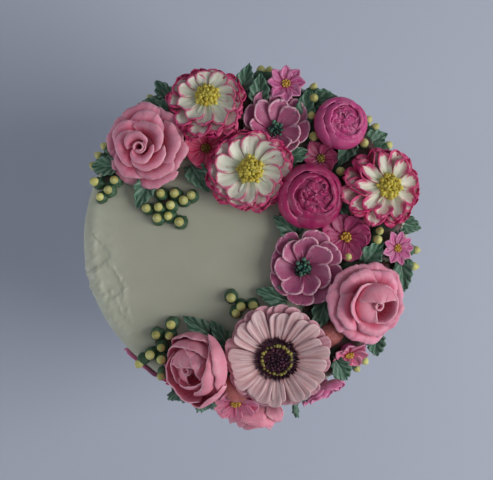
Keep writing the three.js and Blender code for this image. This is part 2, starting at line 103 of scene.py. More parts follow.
# A closed petal: a middle surface with thickness, both faces and a thin rim between them.
def thickSheet(grid, thickness, **values):
    rows, columns = grid.shape[:2]
    normal = np.cross(np.gradient(grid, axis=0), np.gradient(grid, axis=1))
    normal /= np.linalg.norm(normal, axis=2, keepdims=True) + 1e-12
    half = normal * (np.broadcast_to(thickness, (rows, columns)) / 2)[..., None]
    points = np.concatenate([(grid + half).reshape(-1, 3), (grid - half).reshape(-1, 3)])
    count = rows * columns
    faces = gridFaces(rows, columns) + gridFaces(rows, columns, first=count, flip=True)
    loop = [i * columns for i in range(rows)]
    loop += [(rows - 1) * columns + j for j in range(1, columns)]
    loop += [i * columns + columns - 1 for i in range(rows - 2, -1, -1)]
    loop += list(range(columns - 2, 0, -1))
    for here, after in zip(loop, loop[1:] + loop[:1]):
        faces.append((count + here, count + after, after, here))
    both = {}
    for name, value in values.items():
        value = np.asarray(value, float)
        if value.ndim:
            value = np.concatenate([value.reshape(count, -1)] * 2).squeeze()
        both[name] = value
    both["under"] = np.repeat([0.0, 1.0], count)
    return part(points, faces, **both)


# A solid of revolution about Z, from a profile of (radius, height) that goes up from the axis.
def lathe(profile, sides, wave=None, angles=None):
    profile = np.asarray(profile, float)
    angle = np.linspace(0, 2 * math.pi, sides, endpoint=False) if angles is None else np.asarray(angles)
    radius, height = profile[1:-1, 0][:, None], profile[1:-1, 1][:, None]
    grid = np.stack([radius * np.cos(angle), radius * np.sin(angle), height + 0 * angle], -1)
    rows = len(profile) - 2
    low, high = rows * sides, rows * sides + 1
    faces = gridFaces(rows, sides, flip=True, wrap=True)
    for j in range(sides):
        after = (j + 1) % sides
        faces.append((low, after, j))
        faces.append((high, (rows - 1) * sides + j, (rows - 1) * sides + after))
    points = np.concatenate([grid.reshape(-1, 3), [[0, 0, profile[0, 1]], [0, 0, profile[-1, 1]]]])
    if wave:
        points = wave(points)
    share = np.concatenate([np.repeat(np.linspace(0, 1, rows), sides), [0, 1]])
    return part(points, faces, along=share)


def ball(sides=12, rings=7):
    slant = np.linspace(-math.pi / 2, math.pi / 2, rings + 2)
    return lathe(np.stack([np.cos(slant), np.sin(slant)], 1), sides)


# A smooth uneven wave over points, about one either way, of a given length.
def unevenWave(points, length, seed):
    random = np.random.default_rng(seed)
    total = 0
    for n in range(5):
        direction = random.normal(size=3)
        direction /= np.linalg.norm(direction)
        phase = random.uniform(0, 2 * math.pi)
        total = total + np.sin(points @ direction * (2 * math.pi / length) * (1 + 0.35 * n) + phase)
    return total / 2.6  # brings the sum back to about one


def bezier(controls, t):
    level = [np.outer(np.ones_like(t), point) for point in np.asarray(controls, float)]
    while len(level) > 1:
        level = [a * (1 - t)[:, None] + b * t[:, None] for a, b in zip(level, level[1:])]
    return level[0]


def holder(x, y, z, lean=0.0, towards=0.0, turn=0.0, **_):
    towards = math.radians(towards)
    axis = Vector((-math.sin(towards), math.cos(towards), 0))
    tipped = Matrix.Rotation(math.radians(lean), 4, axis) @ Matrix.Rotation(math.radians(turn), 4, "Z")
    return Matrix.Translation((x, y, z)) @ tipped


# Height of the cake's surface at a distance from its axis.
def surfaceHeight(distance):
    past = min(1.0, max(0.0, (distance - cake["radius"]) / cake["edge"] + 1))
    return cakeTop - cake["edge"] * (1 - math.sqrt(1 - past * past))


def addPiece(name, shapes, material, replaces=()):
    whole = joined(shapes)
    mesh = bpy.data.meshes.new(name)
    mesh.from_pydata(whole["points"].tolist(), [], whole["faces"])
    for value in ("along", "edge", "under", "shade", "mark"):
        layer = mesh.attributes.new(value, "FLOAT", "POINT")
        layer.data.foreach_set("value", whole[value].astype(np.float32))
    flow = mesh.attributes.new("flow", "FLOAT_VECTOR", "POINT")
    flow.data.foreach_set("vector", whole["flow"].astype(np.float32).ravel())
    mesh.shade_smooth()
    mesh.materials.append(material)
    piece = bpy.data.objects.new(name, mesh)
    scene.collection.objects.link(piece)
    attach(piece, "root")
    if replaces:
        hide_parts(*replaces)
    return piece


# Materials. Colours are linear red, green and blue.
class Nodes:
    def __init__(self, name):
        self.material = bpy.data.materials.new(name)
        self.material.use_nodes = True
        self.tree = self.material.node_tree
        self.shader = self.tree.nodes["Principled BSDF"]

    def add(self, kind, inputs=None, **settings):
        node = self.tree.nodes.new(kind)
        for name, value in settings.items():
            setattr(node, name, value)
        for name, value in (inputs or {}).items():
            self.put(node.inputs[name], value)
        return node

    def put(self, socket, value):
        if isinstance(value, bpy.types.NodeSocket):
            self.tree.links.new(value, socket)
        elif hasattr(socket.default_value, "__len__") and len(socket.default_value) == 4:
            socket.default_value = (*value[:3], 1)
        else:
            socket.default_value = value

    def value(self, name):
        return self.add("ShaderNodeAttribute", attribute_name=name).outputs["Fac"]

    def vector(self, name):
        return self.add("ShaderNodeAttribute", attribute_name=name).outputs["Vector"]

    def spread(self, value, low, high, start=0.0, end=1.0):
        node = self.add("ShaderNodeMapRange", {
            "Value": value, "From Min": low, "From Max": high, "To Min": start, "To Max": end})
        node.interpolation_type = "SMOOTHSTEP"
        return node.outputs["Result"]

    def product(self, first, second):
        node = self.add("ShaderNodeMath", operation="MULTIPLY", use_clamp=True)
        self.put(node.inputs[0], first)
        self.put(node.inputs[1], second)
        return node.outputs[0]

    def mixed(self, share, first, second, way="MIX"):
        node = self.add("ShaderNodeMix", data_type="RGBA", blend_type=way)
        self.put(node.inputs["Factor"], share)
        self.put(node.inputs["A"], first)
        self.put(node.inputs["B"], second)
        return node.outputs["Result"]

    def noise(self, scale, detail=3.0, vector=None, stretch=None, rough=0.55):
        if vector is None:
            vector = self.add("ShaderNodeTexCoord").outputs["Object"]
        if stretch:
            vector = self.add("ShaderNodeMapping", {"Vector": vector, "Scale": stretch}).outputs["Vector"]
        node = self.add("ShaderNodeTexNoise", {
            "Vector": vector, "Scale": scale, "Detail": detail, "Roughness": rough})
        return node.outputs["Fac"]

    def bumped(self, *heights):
        normal = None
        for height, strength, distance in heights:
            node = self.add("ShaderNodeBump", {
                "Height": height, "Strength": strength, "Distance": distance})
            if normal is not None:
                self.put(node.inputs["Normal"], normal)
            normal = node.outputs["Normal"]
        self.put(self.shader.inputs["Normal"], normal)


# Piped buttercream: heart, body and tip along each petal, the heart partly painted shade deep in the
# flower;
# painted highlights on its ridges, an underside, a rim that is partly a painted highlight, and streaks from
# the nozzle, painted as shade in the grooves on the dahlias.
def buttercream(name, look):
    made = Nodes(name)
    along = made.value("along")
    # Darker towards each petal's foot: partly painted shade deep in the flower.
    colour = made.mixed(made.spread(along, 0.0, look.get("heartReach", 0.45)), look["heart"],
                        look["body"])
    if "tip" in look:
        colour = made.mixed(made.spread(along, 0.55, 1.0), colour, look["tip"])
    stretch = look.get("streaks", (1.3, 0.09, 1.0))
    streaks = made.noise(1.0, detail=4.0, vector=made.vector("flow"), stretch=stretch)
    streakShare = made.spread(streaks, 0.35, 0.7, 0.0, look.get("streakDepth", 0.35))
    colour = made.mixed(streakShare, colour, look.get("streak", look["body"]))
    # Painted highlights on the ridge crests and leaf veins, and the leaves' pale midrib.
    if "mark" in look:
        marked = made.product(made.value("mark"), look.get("markStrength", 0.8))
        colour = made.mixed(marked, colour, look["mark"])
    if "under" in look:
        colour = made.mixed(made.value("under"), colour, look["under"])
    # Pale rims are partly a painted highlight on the thin rounded edge; the dahlias' magenta rims are their
    # own colour.
    if "rim" in look:
        width = look.get("rimWidth", 1.0)
        fray = look.get("rimFray", 0.6)
        crumbs = made.noise(700.0, detail=2.0)
        frayed = made.spread(crumbs, 0.3, 0.7, (1 - fray) * width, (1 + fray) * width)
        share = made.add("ShaderNodeMapRange", {
            "Value": made.value("edge"), "From Min": look.get("rimCore", 0.3) * width, "From Max": frayed,
            "To Min": 1.0, "To Max": 0.0})
        rimShare = made.product(share.outputs["Result"], look.get("rimStrength", 1.0))
        if "rimFrom" in look:
            rimShare = made.product(rimShare, made.spread(along, look["rimFrom"], look["rimFrom"] + 0.35))
        colour = made.mixed(rimShare, colour, look["rim"])
    cloud = made.noise(170.0, detail=3.0)
    toned = made.add("ShaderNodeHueSaturation", {
        "Color": colour,
        "Saturation": made.spread(cloud, 0.3, 0.7, 0.95, 1.08),
        "Value": made.spread(made.value("shade"), 0.0, 1.0, 0.9, 1.08),
    })
    made.put(made.shader.inputs["Base Color"], toned.outputs["Color"])
    made.put(made.shader.inputs["Roughness"], made.spread(made.noise(420.0), 0.3, 0.7, 0.36, 0.54))
    made.shader.inputs["Subsurface Weight"].default_value = look.get("glow", 0.2)
    made.shader.inputs["Subsurface Radius"].default_value = (1.0, 0.5, 0.45)
    made.shader.inputs["Subsurface Scale"].default_value = 0.0012
    made.shader.inputs["Specular IOR Level"].default_value = 0.4
    made.bumped(
        (streaks, look.get("streakBump", 0.4), 0.0005),
        (made.noise(1300.0, detail=3.0), look.get("grain", 0.2), 0.0002),
    )
    return made.material


def plainCream(name, colour, second, glow=0.15, rough=(0.38, 0.55), scale=220.0, bump=0.25,
               tone=(0.8, 1.12)):
    made = Nodes(name)
    cloud = made.noise(scale, detail=4.0)
    colour = made.mixed(made.spread(cloud, 0.35, 0.68), colour, second)
    toned = made.add("ShaderNodeHueSaturation", {
        "Color": colour, "Value": made.spread(made.value("shade"), 0.0, 1.0, *tone)})
    made.put(made.shader.inputs["Base Color"], toned.outputs["Color"])
    made.put(made.shader.inputs["Roughness"], made.spread(made.noise(500.0), 0.3, 0.7, *rough))
    made.shader.inputs["Subsurface Weight"].default_value = glow
    made.shader.inputs["Subsurface Radius"].default_value = (1.0, 0.7, 0.4)
    made.shader.inputs["Subsurface Scale"].default_value = 0.001
    made.shader.inputs["Specular IOR Level"].default_value = 0.4
    made.bumped((made.noise(700.0, detail=4.0), bump, 0.0004))
    return made.material


# An uneven wave along a line, about one either way.
def waver(line, pace, random):
    waves = []
    for n in range(4):
        phase = random.uniform(0, 2 * math.pi)
        waves.append(np.sin(pace * (1 + 0.7 * n) * line + phase) / (1 + 0.5 * n))
    return sum(waves) / 1.6  # brings the sum back to about one


# Petals.
wrapGrid = (15, 41)  # rows from foot to rim, columns across
bladeGrid = (17, 11)
rimRound = 0.5  # millimetres over which a petal thins down to its rim
rimThin = 0.25  # square of the share of its thickness left at the rim


# A petal wrapped round the flower's axis. Its middle and its sides follow two curves of (radius, height),
# with v up from foot to rim and a across from side to side.
def wrappedPetal(size, turn, spec, seed):
    random = np.random.default_rng(seed)
    rows, columns = spec.get("grid", wrapGrid)
    v = np.linspace(0, 1, rows) ** 0.85
    a = np.linspace(-1, 1, columns)
    middle = bezier(spec["middle"], v)[:, None, :]
    side = bezier(spec["side"], v)[:, None, :]
    toSide = (np.abs(a) ** spec.get("square", 2.4))[None, :, None]
    outline = middle * (1 - toSide) + side * toSide
    ruffle, jag = spec.get("ruffle", 0.014), spec.get("jag", 0.005)
    reach = 1 + spec.get("uneven", 0.03) * random.uniform(-1, 1)
    rise = 1 + 0.6 * spec.get("uneven", 0.03) * random.uniform(-1, 1)
    ruffled = v[:, None] ** 3 * (ruffle * waver(a, 3.2, random) + jag * waver(a, 15, random))[None, :]
    lipWave = 0.8 * ruffle * waver(a, 4.1, random) + jag * waver(a, 17, random)
    lifted = v[:, None] ** 3 * lipWave[None, :]
    radius = (outline[..., 0] + spec.get("lap", 0.05) * a[None, :] * v[:, None]) * reach + ruffled
    height = outline[..., 1] * rise + lifted
    skew = math.radians(spec.get("skew", 0.0)) * random.uniform(-1, 1)
    angle = math.radians(turn) + math.radians(spec["half"]) * a[None, :] * (0.8 + 0.2 * v[:, None])
    angle = angle + skew * v[:, None]
    grid = np.stack([radius * np.cos(angle), radius * np.sin(angle), height], -1) * size
    across = radius * math.radians(spec["half"]) * size * 1000
    climb = np.linalg.norm(np.diff(spec["middle"], axis=0), axis=1).sum() * size * 1000
    edge = np.minimum((1 - v)[:, None] * climb, (1 - np.abs(a))[None, :] * across)
    thin, thick = spec.get("thick", (0.0009, 0.0019))
    body = thin + (thick - thin) * (1 - v[:, None]) ** 1.5
    rounded = np.clip(edge / rimRound, rimThin, 1) ** 0.5
    flow = np.stack([across * a[None, :], climb * v[:, None] + 0 * a[None, :],
                     0 * grid[..., 0] + seed * 3.7], -1)
    return thickSheet(
        grid, body * rounded, edge=edge, flow=flow, shade=random.uniform(0, 1),
        along=v[:, None] + 0 * a[None, :],
    )


# A petal laid outwards along a spine of (radius, height), with its own outline and cross-section,
# and v and a as above.
def bladePetal(size, turn, spec, seed):
    random = np.random.default_rng(seed)
    rows, columns = spec.get("grid", bladeGrid)
    v = 1 - (1 - np.linspace(0, 1, rows)) ** 1.35
    even = np.linspace(-1, 1, columns)
    a = 0.5 * even + 0.5 * np.sin(even * math.pi / 2)
    reach = 1 + spec.get("uneven", 0.04) * random.uniform(-1, 1)
    spine = bezier(spec["spine"], v)
    spine[:, 0] *= reach
    slope = np.gradient(spine, axis=0)
    slope /= np.linalg.norm(slope, axis=1, keepdims=True) + 1e-12
    normal = np.stack([-slope[:, 1], slope[:, 0]], 1)
    widest = spec.get("widest", 0.65)
    grow = spec.get("foot", 0.45) + (1 - spec.get("foot", 0.45)) * np.sin(
        math.pi / 2 * np.clip(v / widest, 0, 1))
    past = np.clip((v - widest) / (1 - widest), 0, 1)
    shrink = (1 - past ** spec.get("blunt", 2.2)) ** spec.get("taper", 0.5)
    width = spec["width"] * grow * np.maximum(shrink, spec.get("tipShare", 0.14))
    width = width * (1 + spec.get("uneven", 0.04) * random.uniform(-1, 1))
    phase = random.uniform(0, 2 * math.pi, 3)
    v2, a2 = v[:, None], a[None, :]
    offset = spec.get("cup", 0.0) * a2 ** 2 * width[:, None]
    offset = offset + spec.get("tilt", 0.0) * a2 * width[:, None] * v2
    offset = offset - spec.get("crease", 0.0) * np.exp(-(a2 / 0.22) ** 2) * np.sin(math.pi * v2) ** 0.5
    arc = np.sin(math.pi * np.clip(v2 * 0.95 + 0.03, 0, 1))
    crests = np.cos(spec.get("ridges", 3) * math.pi * a2 + 0.8 * math.sin(phase[0]))
    offset = offset + spec.get("ridge", 0.0) * crests * arc
    # A painted highlight along the crests of the ridges.
    mark = spec.get("marked", 0.0) * np.clip(crests, 0, 1) ** 2 * arc ** 0.7
    frill, waves = spec.get("frill", 0.0), spec.get("waves", 3.0)
    flutter = np.sin(2 * math.pi * waves * v2 + phase[0] + 2.0 * np.sign(a2))
    offset = offset + frill * v2 ** 2 * a2 ** 2 * flutter
    offset = offset + frill * v2 ** 5 * np.sin(2 * math.pi * 0.5 * waves * a2 + phase[1])
    chevron = spec.get("chevron", 0.0)  # ripples across a leaf, swept forward on both sides of its midrib
    if chevron:
        sweep = spec["chevrons"] * v2 - spec.get("sweep", 1.3) * np.abs(a2)
        ripple = np.sin(2 * math.pi * sweep + phase[1] + 1.2 * (a2 > 0))
        offset = offset + chevron * ripple * np.abs(a2) ** 0.7 * arc ** 0.5
        # Painted highlights on the ripple crests, and a pale line down the midrib.
        veins = 0.75 * np.clip(ripple, 0, 1) ** 3 * np.abs(a2) ** 0.4 * arc ** 0.3
        mark = np.maximum(np.exp(-(a2 / 0.09) ** 2) * (1 - 0.5 * v2), veins)
    sway = spec.get("sway", 0.02) * math.sin(phase[2]) * v2 ** 2
    saw = 1 + spec.get("serrate", 0.0) * (2 * np.abs((v2 * spec.get("teeth", 5)) % 1 - 0.5) - 0.5)
    jag = spec.get("jag", 0.0)
    ragged = jag * v2 ** 4 * waver(a2, 9.0, random)
    sides = 1 + 2.5 * jag * np.abs(a2) ** 3 * waver(v2 + 0.3 * np.sign(a2), 17.0, random)
    radial = spine[:, 0][:, None] + offset * normal[:, 0][:, None] + ragged
    height = spine[:, 1][:, None] + offset * normal[:, 1][:, None]
    lateral = a2 * width[:, None] * saw * sides + sway
    turn = math.radians(turn)
    grid = np.stack([
        radial * math.cos(turn) - lateral * math.sin(turn),
        radial * math.sin(turn) + lateral * math.cos(turn),
        height,
    ], -1) * size
    length = np.linalg.norm(np.diff(spine, axis=0), axis=1).sum() * size * 1000
    toTip = (1 - v2) * length + 0 * a2
    toSide = (1 - np.abs(a2)) * width[:, None] * size * 1000
    footGuard = 20 * np.clip(0.3 - v2, 0, 1)
    edge = np.minimum(toTip, toSide + footGuard)
    thin, thick = spec.get("thick", (0.0007, 0.0016))
    body = thin + (thick - thin) * (1 - v2) ** 1.5
    rounded = np.clip(edge / rimRound, rimThin, 1) ** 0.5
    flow = np.stack([lateral * size * 1000, v2 * length + 0 * a2, 0 * height + seed * 3.7], -1)
    return thickSheet(
        grid, body * rounded, edge=edge, flow=flow, shade=random.uniform(0, 1), along=v2 + 0 * a2,
        mark=mark + 0 * height,
    )


# A ring of petals, each turned on from the last. The sizes in a ring are shares of the flower's radius.
def petalRing(size, spec, seed):
    make = wrappedPetal if "middle" in spec else bladePetal
    random = np.random.default_rng(seed)
    petals = []
    for n in range(spec["count"]):
        shift = spec.get("scatter", 3.0) * random.uniform(-1, 1)
        angle = spec.get("start", 0.0) + 360.0 * n / spec["count"] + shift
        petals.append(make(size, angle, spec, seed * 100 + n))
    return petals


# The plain pad of buttercream that each flower is piped on.
def flowerFoot(size, sunk, top, spread):
    outline = [(0, -sunk), (0.4 * size, -sunk), (0.42 * size, 0), (0.6 * spread * size, 0.3 * top * size)]
    outline += [(spread * size, 0.75 * top * size), (0.8 * spread * size, top * size), (0, top * size)]
    foot = lathe(outline, 28)
    foot["under"][:] = 1.0
    foot["along"][:] = 0.2
    return foot


# Small round dots over a dome, laid out as seeds are on a flower head.
def dotDome(size, count, reach, height, dotRadius, seed, bulge=0.5, jitter=0.25, scatter=0.05):
    random = np.random.default_rng(seed)
    dot = ball(8, 5)
    dots = []
    for n in range(count):
        share = math.sqrt((n + 0.5) / count)
        angle = n * goldenAngle + 2 * scatter * random.uniform(-1, 1)
        radius = reach * share * (1 + scatter * random.uniform(-1, 1))
        rise = height + bulge * reach * (1 - share ** 2)
        scale = dotRadius * size * (1 + jitter * random.uniform(-1, 1))
        place = Matrix.Translation((
            radius * math.cos(angle) * size, radius * math.sin(angle) * size, rise * size))
        stretch = Matrix.Diagonal((scale, scale, scale * random.uniform(0.9, 1.6), 1))
        lump = placed(dot, place @ stretch)
        lump["shade"] = np.full(len(lump["points"]), random.uniform(0, 1))
        dots.append(lump)
    return dots


def dotRing(size, count, radius, height, dotRadius, seed, jitter=0.15):
    random = np.random.default_rng(seed)
    dot = ball(8, 5)
    dots = []
    for n in range(count):
        angle = 2 * math.pi * (n + 0.3 * random.uniform(-1, 1)) / count
        scale = dotRadius * size * (1 + jitter * random.uniform(-1, 1))
        away = radius * (1 + 0.05 * random.uniform(-1, 1)) * size
        place = Matrix.Translation((away * math.cos(angle), away * math.sin(angle), height * size))
        lump = placed(dot, place @ Matrix.Diagonal((scale, scale, scale, 1)))
        lump["shade"] = np.full(len(lump["points"]), random.uniform(0, 1))
        dots.append(lump)
    return dots


def domeOf(size, radius, height, rise):
    slant = np.linspace(0, math.pi / 2, 7)
    profile = [(0, (height - 0.2) * size), (radius * size, (height - 0.2) * size)]
    profile += [(radius * size * math.cos(s), (height + rise * math.sin(s)) * size) for s in slant[:-1]]
    profile += [(0, (height + rise) * size)]
    return lathe(profile, 24)


# Roses: broad outer petals, a few long crescents that stand up inside them, and a bud.
# The rose's dark heart is painted shade in its folds, and its pale rim a painted highlight.
roseLook = {
    "heart": (0.56, 0.05, 0.10),
    "heartReach": 0.9,
    "body": (0.78, 0.23, 0.35),
    "tip": (0.86, 0.35, 0.47),
    "streak": (0.88, 0.38, 0.50),
    "grain": 0.4,
    "under": (0.86, 0.33, 0.43),
    "rim": (0.94, 0.53, 0.62),
    "rimWidth": 1.5,
    "rimCore": 0.35,
    "rimStrength": 0.65,
    "glow": 0.28,
}
roseOuter = {
    "count": 6, "start": 15, "half": 40, "lap": 0.06, "uneven": 0.07, "ruffle": 0.035, "jag": 0.009,
    "square": 3.0,
    "skew": 6,
    "middle": [(0.3, 0.08), (0.62, 0.2), (0.84, 0.5), (1.0, 0.31)],
    "side": [(0.28, 0.06), (0.56, 0.16), (0.74, 0.32), (0.88, 0.26)],
}
roseBroad = {
    "count": 5, "start": 52, "half": 47, "lap": 0.1, "uneven": 0.07, "ruffle": 0.034, "jag": 0.008,
    "skew": 6,
    "middle": [(0.28, 0.14), (0.52, 0.28), (0.62, 0.7), (0.86, 0.5)],
    "side": [(0.26, 0.12), (0.48, 0.24), (0.56, 0.44), (0.66, 0.4)],
}
roseClose = {
    "count": 3, "start": 25, "half": 74, "lap": 0.14, "uneven": 0.06, "ruffle": 0.022, "jag": 0.008,
    "square": 2.0,
    "skew": 8,
    "middle": [(0.2, 0.22), (0.36, 0.36), (0.38, 0.88), (0.64, 0.7)],
    "side": [(0.18, 0.2), (0.32, 0.32), (0.34, 0.58), (0.42, 0.56)],
}
roseHeart = {
    "count": 2, "start": 80, "half": 92, "lap": 0.1, "uneven": 0.04, "square": 2.0, "ruffle": 0.016,
    "middle": [(0.1, 0.3), (0.2, 0.46), (0.2, 1.0), (0.4, 0.85)],
    "side": [(0.08, 0.3), (0.18, 0.4), (0.18, 0.74), (0.22, 0.72)],
}
# The open cup of a half-blown rose: two petals that stand, and two that fold in over the bud.
roseCup = [
    {"count": 1, "start": 165, "half": 66, "lap": 0.05, "square": 2.0, "ruffle": 0.02,
     "middle": [(0.4, 0.3), (0.54, 0.46), (0.54, 0.9), (0.66, 0.84)],
     "side": [(0.38, 0.3), (0.5, 0.44), (0.52, 0.62), (0.54, 0.66)]},
    {"count": 1, "start": 345, "half": 84, "lap": 0.03, "square": 2.6, "ruffle": 0.02,
     "middle": [(0.26, 0.34), (0.4, 0.48), (0.42, 0.8), (0.56, 0.78)],
     "side": [(0.26, 0.34), (0.4, 0.46), (0.42, 0.64), (0.46, 0.7)]},
    {"count": 1, "start": 190, "half": 80, "lap": 0.0, "square": 3.4, "thick": (0.0009, 0.0014),
     "ruffle": 0.024,
     "middle": [(0.46, 0.42), (0.5, 0.76), (0.3, 0.7), (-0.04, 0.74)],
     "side": [(0.44, 0.38), (0.47, 0.56), (0.44, 0.66), (0.4, 0.72)]},
    {"count": 1, "start": 92, "half": 78, "lap": 0.0, "square": 4.0, "thick": (0.0009, 0.0014),
     "ruffle": 0.024,
     "middle": [(0.5, 0.5), (0.55, 0.92), (0.36, 0.94), (0.1, 1.0)],
     "side": [(0.48, 0.44), (0.53, 0.7), (0.5, 0.82), (0.47, 0.88)]},
]
# A rose seen from its side: petals that stand like the walls of cups, one inside another.
roseWalls = [
    {"count": 4, "start": 12, "half": 54, "lap": 0.06, "ruffle": 0.05, "jag": 0.01, "square": 3.0,
     "uneven": 0.07,
     "middle": [(0.4, 0.04), (0.92, 0.06), (0.98, 0.5), (0.86, 0.66)],
     "side": [(0.4, 0.04), (0.84, 0.04), (0.86, 0.26), (0.86, 0.36)]},
    {"count": 3, "start": -22, "half": 70, "lap": 0.08, "ruffle": 0.04, "jag": 0.009, "square": 2.8,
     "uneven": 0.06,
     "middle": [(0.4, 0.2), (0.76, 0.3), (0.8, 0.72), (0.62, 0.86)],
     "side": [(0.38, 0.2), (0.7, 0.26), (0.72, 0.5), (0.7, 0.58)]},
    {"count": 3, "start": 40, "half": 68, "lap": 0.07, "ruffle": 0.03, "jag": 0.008, "square": 2.4,
     "uneven": 0.05,
     "middle": [(0.3, 0.3), (0.54, 0.42), (0.56, 0.8), (0.42, 0.93)],
     "side": [(0.28, 0.3), (0.48, 0.4), (0.52, 0.62), (0.5, 0.7)]},
]


# The rolled bud: one sheet wound round, opening towards its top.
def rolledBud(size, seed, reach):
    turns, rows, columns = 1.5, 9, 60
    t = np.linspace(0, 1, columns)[None, :]
    v = np.linspace(0, 1, rows)[:, None]
    angle = 2 * math.pi * turns * t + seed
    radius = (0.05 + (reach - 0.05) * t) * (0.9 + 0.12 * v) + 0.04 * v ** 4
    height = 0.36 + (0.49 - 0.07 * t) * v + 0.014 * np.sin(3 * angle) * v
    grid = np.stack([radius * np.cos(angle), radius * np.sin(angle), height + 0 * t], -1) * size
    edge = np.minimum((1 - v) * 0.5 * size * 1000, 8 * (1 - t) * size * 1000) + 0 * t
    flow = np.stack([angle * 3 + 0 * v, v * 12 + 0 * t, 0 * grid[..., 0] + seed], -1)
    return thickSheet(grid, 0.0009 + 0 * edge, edge=edge, flow=flow, along=0.1 + 0.75 * v ** 2 + 0 * t,
                      shade=0.5)


def roseWith(rings, budReach, turned=0):
    def rose(size, sunk, seed):
        petals = [flowerFoot(size, sunk, 0.36, 0.78)]
        for n, ring in enumerate(rings):
            petals += petalRing(size, {**ring, "start": ring["start"] + turned}, seed * 10 + n)
        petals.append(rolledBud(size, seed, budReach))
        return {"petals": (petals, "rose")}

    return rose


spiralRose = roseWith([roseOuter, roseBroad, roseClose, roseHeart], 0.12)
foldedRose = roseWith([roseOuter, roseBroad, *roseCup], 0.08)
leaningRose = roseWith([*roseWalls, *roseCup[2:]], 0.1)
smallRose = roseWith([{**roseWalls[0], "count": 5, "half": 46}, *roseWalls[1:]], 0.2, turned=90)


# Dahlias: troughed cream petals with a ragged magenta rim, magenta frills under them, a knotted middle.
dahliaLook = {
    "heart": (0.50, 0.55, 0.31),
    "heartReach": 0.5,
    "body": (0.77, 0.77, 0.63),
    "tip": (0.80, 0.72, 0.64),
    # Grey-green streaks: painted shade in the grooves between the ridges.
    "streak": (0.62, 0.64, 0.48),
    "streaks": (1.1, 0.07, 1.0),
    "streakDepth": 0.3,
    # Painted highlight on the ridge crests.
    "mark": (0.88, 0.88, 0.80),
    "markStrength": 0.5,
    "under": (0.60, 0.06, 0.18),
    "rim": (0.64, 0.08, 0.23),
    "rimWidth": 1.5,
    "rimFray": 0.35,
    "rimCore": 0.45,
    "rimFrom": 0.3,
    "rimStrength": 0.85,
    "glow": 0.2,
}
dahliaLowerLook = {
    **dahliaLook, "body": (0.84, 0.83, 0.70), "tip": (0.86, 0.74, 0.68), "rimWidth": 2.5, "rimCore": 0.55,
    "rim": (0.66, 0.06, 0.21), "rimStrength": 0.95}
dahliaSkirtLook = {
    **dahliaLook, "body": (0.76, 0.60, 0.54), "tip": (0.72, 0.34, 0.40), "rimWidth": 3.4, "rimCore": 0.5,
    "rimFrom": 0.15,
    "rim": (0.60, 0.05, 0.18), "rimStrength": 0.95}
dahliaUpper = {
    "count": 10, "start": 18, "width": 0.25, "cup": 0.26, "frill": 0.03, "waves": 1.4, "tilt": 0.2,
    "ridge": 0.006, "ridges": 3, "marked": 1.0, "jag": 0.006, "uneven": 0.08, "grid": (19, 17),
    "scatter": 7.0,
    "spine": [(0.24, 0.36), (0.42, 0.3), (0.64, 0.36), (0.82, 0.47)], "widest": 0.68, "tipShare": 0.2,
    "foot": 0.45,
    "taper": 0.55,
}
dahliaLower = {
    "count": 10, "start": 0, "width": 0.29, "cup": 0.3, "frill": 0.04, "waves": 1.6, "tilt": 0.2,
    "ridge": 0.006, "ridges": 3, "marked": 0.8, "jag": 0.007, "uneven": 0.08, "grid": (19, 17),
    "scatter": 7.0,
    "spine": [(0.3, 0.18), (0.56, 0.18), (0.8, 0.3), (0.97, 0.38)], "widest": 0.7, "tipShare": 0.24,
}
dahliaSkirt = {
    "count": 12, "start": 14, "width": 0.27, "cup": 0.26, "frill": 0.06, "waves": 2.0, "tilt": 0.24,
    "jag": 0.01, "uneven": 0.08, "grid": (17, 15), "scatter": 7.0,
    "spine": [(0.3, 0.08), (0.6, 0.1), (0.86, 0.2), (1.04, 0.26)], "widest": 0.72, "tipShare": 0.26,
}
# Curled petals, rolled in along one side so that their backs show.
dahliaCurls = {**dahliaUpper, "count": 9, "width": 0.22, "cup": 0.75, "tilt": 0.5, "frill": 0.05,
               "spine": [(0.24, 0.34), (0.44, 0.26), (0.7, 0.34), (0.88, 0.5)]}
dahliaCurlsLow = {**dahliaLower, "count": 10, "width": 0.25, "cup": 0.6, "tilt": 0.5, "frill": 0.06}


def dahliaWith(curled):
    upperRing, lowerRing = (dahliaCurls, dahliaCurlsLow) if curled else (dahliaUpper, dahliaLower)

    def dahlia(size, sunk, seed):
        skirt = [flowerFoot(size, sunk, 0.2, 0.74)] + petalRing(size, dahliaSkirt, seed * 10)
        lower = petalRing(size, lowerRing, seed * 10 + 1)
        upper = petalRing(size, upperRing, seed * 10 + 2)
        middle = [domeOf(size, 0.3, 0.38, 0.12)]
        middle += dotDome(size, 56, 0.31, 0.4, 0.05, seed, bulge=0.5, jitter=0.35, scatter=0.12)
        return {"skirt": (skirt, "dahliaSkirt"), "lower": (lower, "dahliaLower"),
                "petals": (upper, "dahliaLower" if curled else "dahlia"), "middle": (middle, "yellow")}

    return dahlia


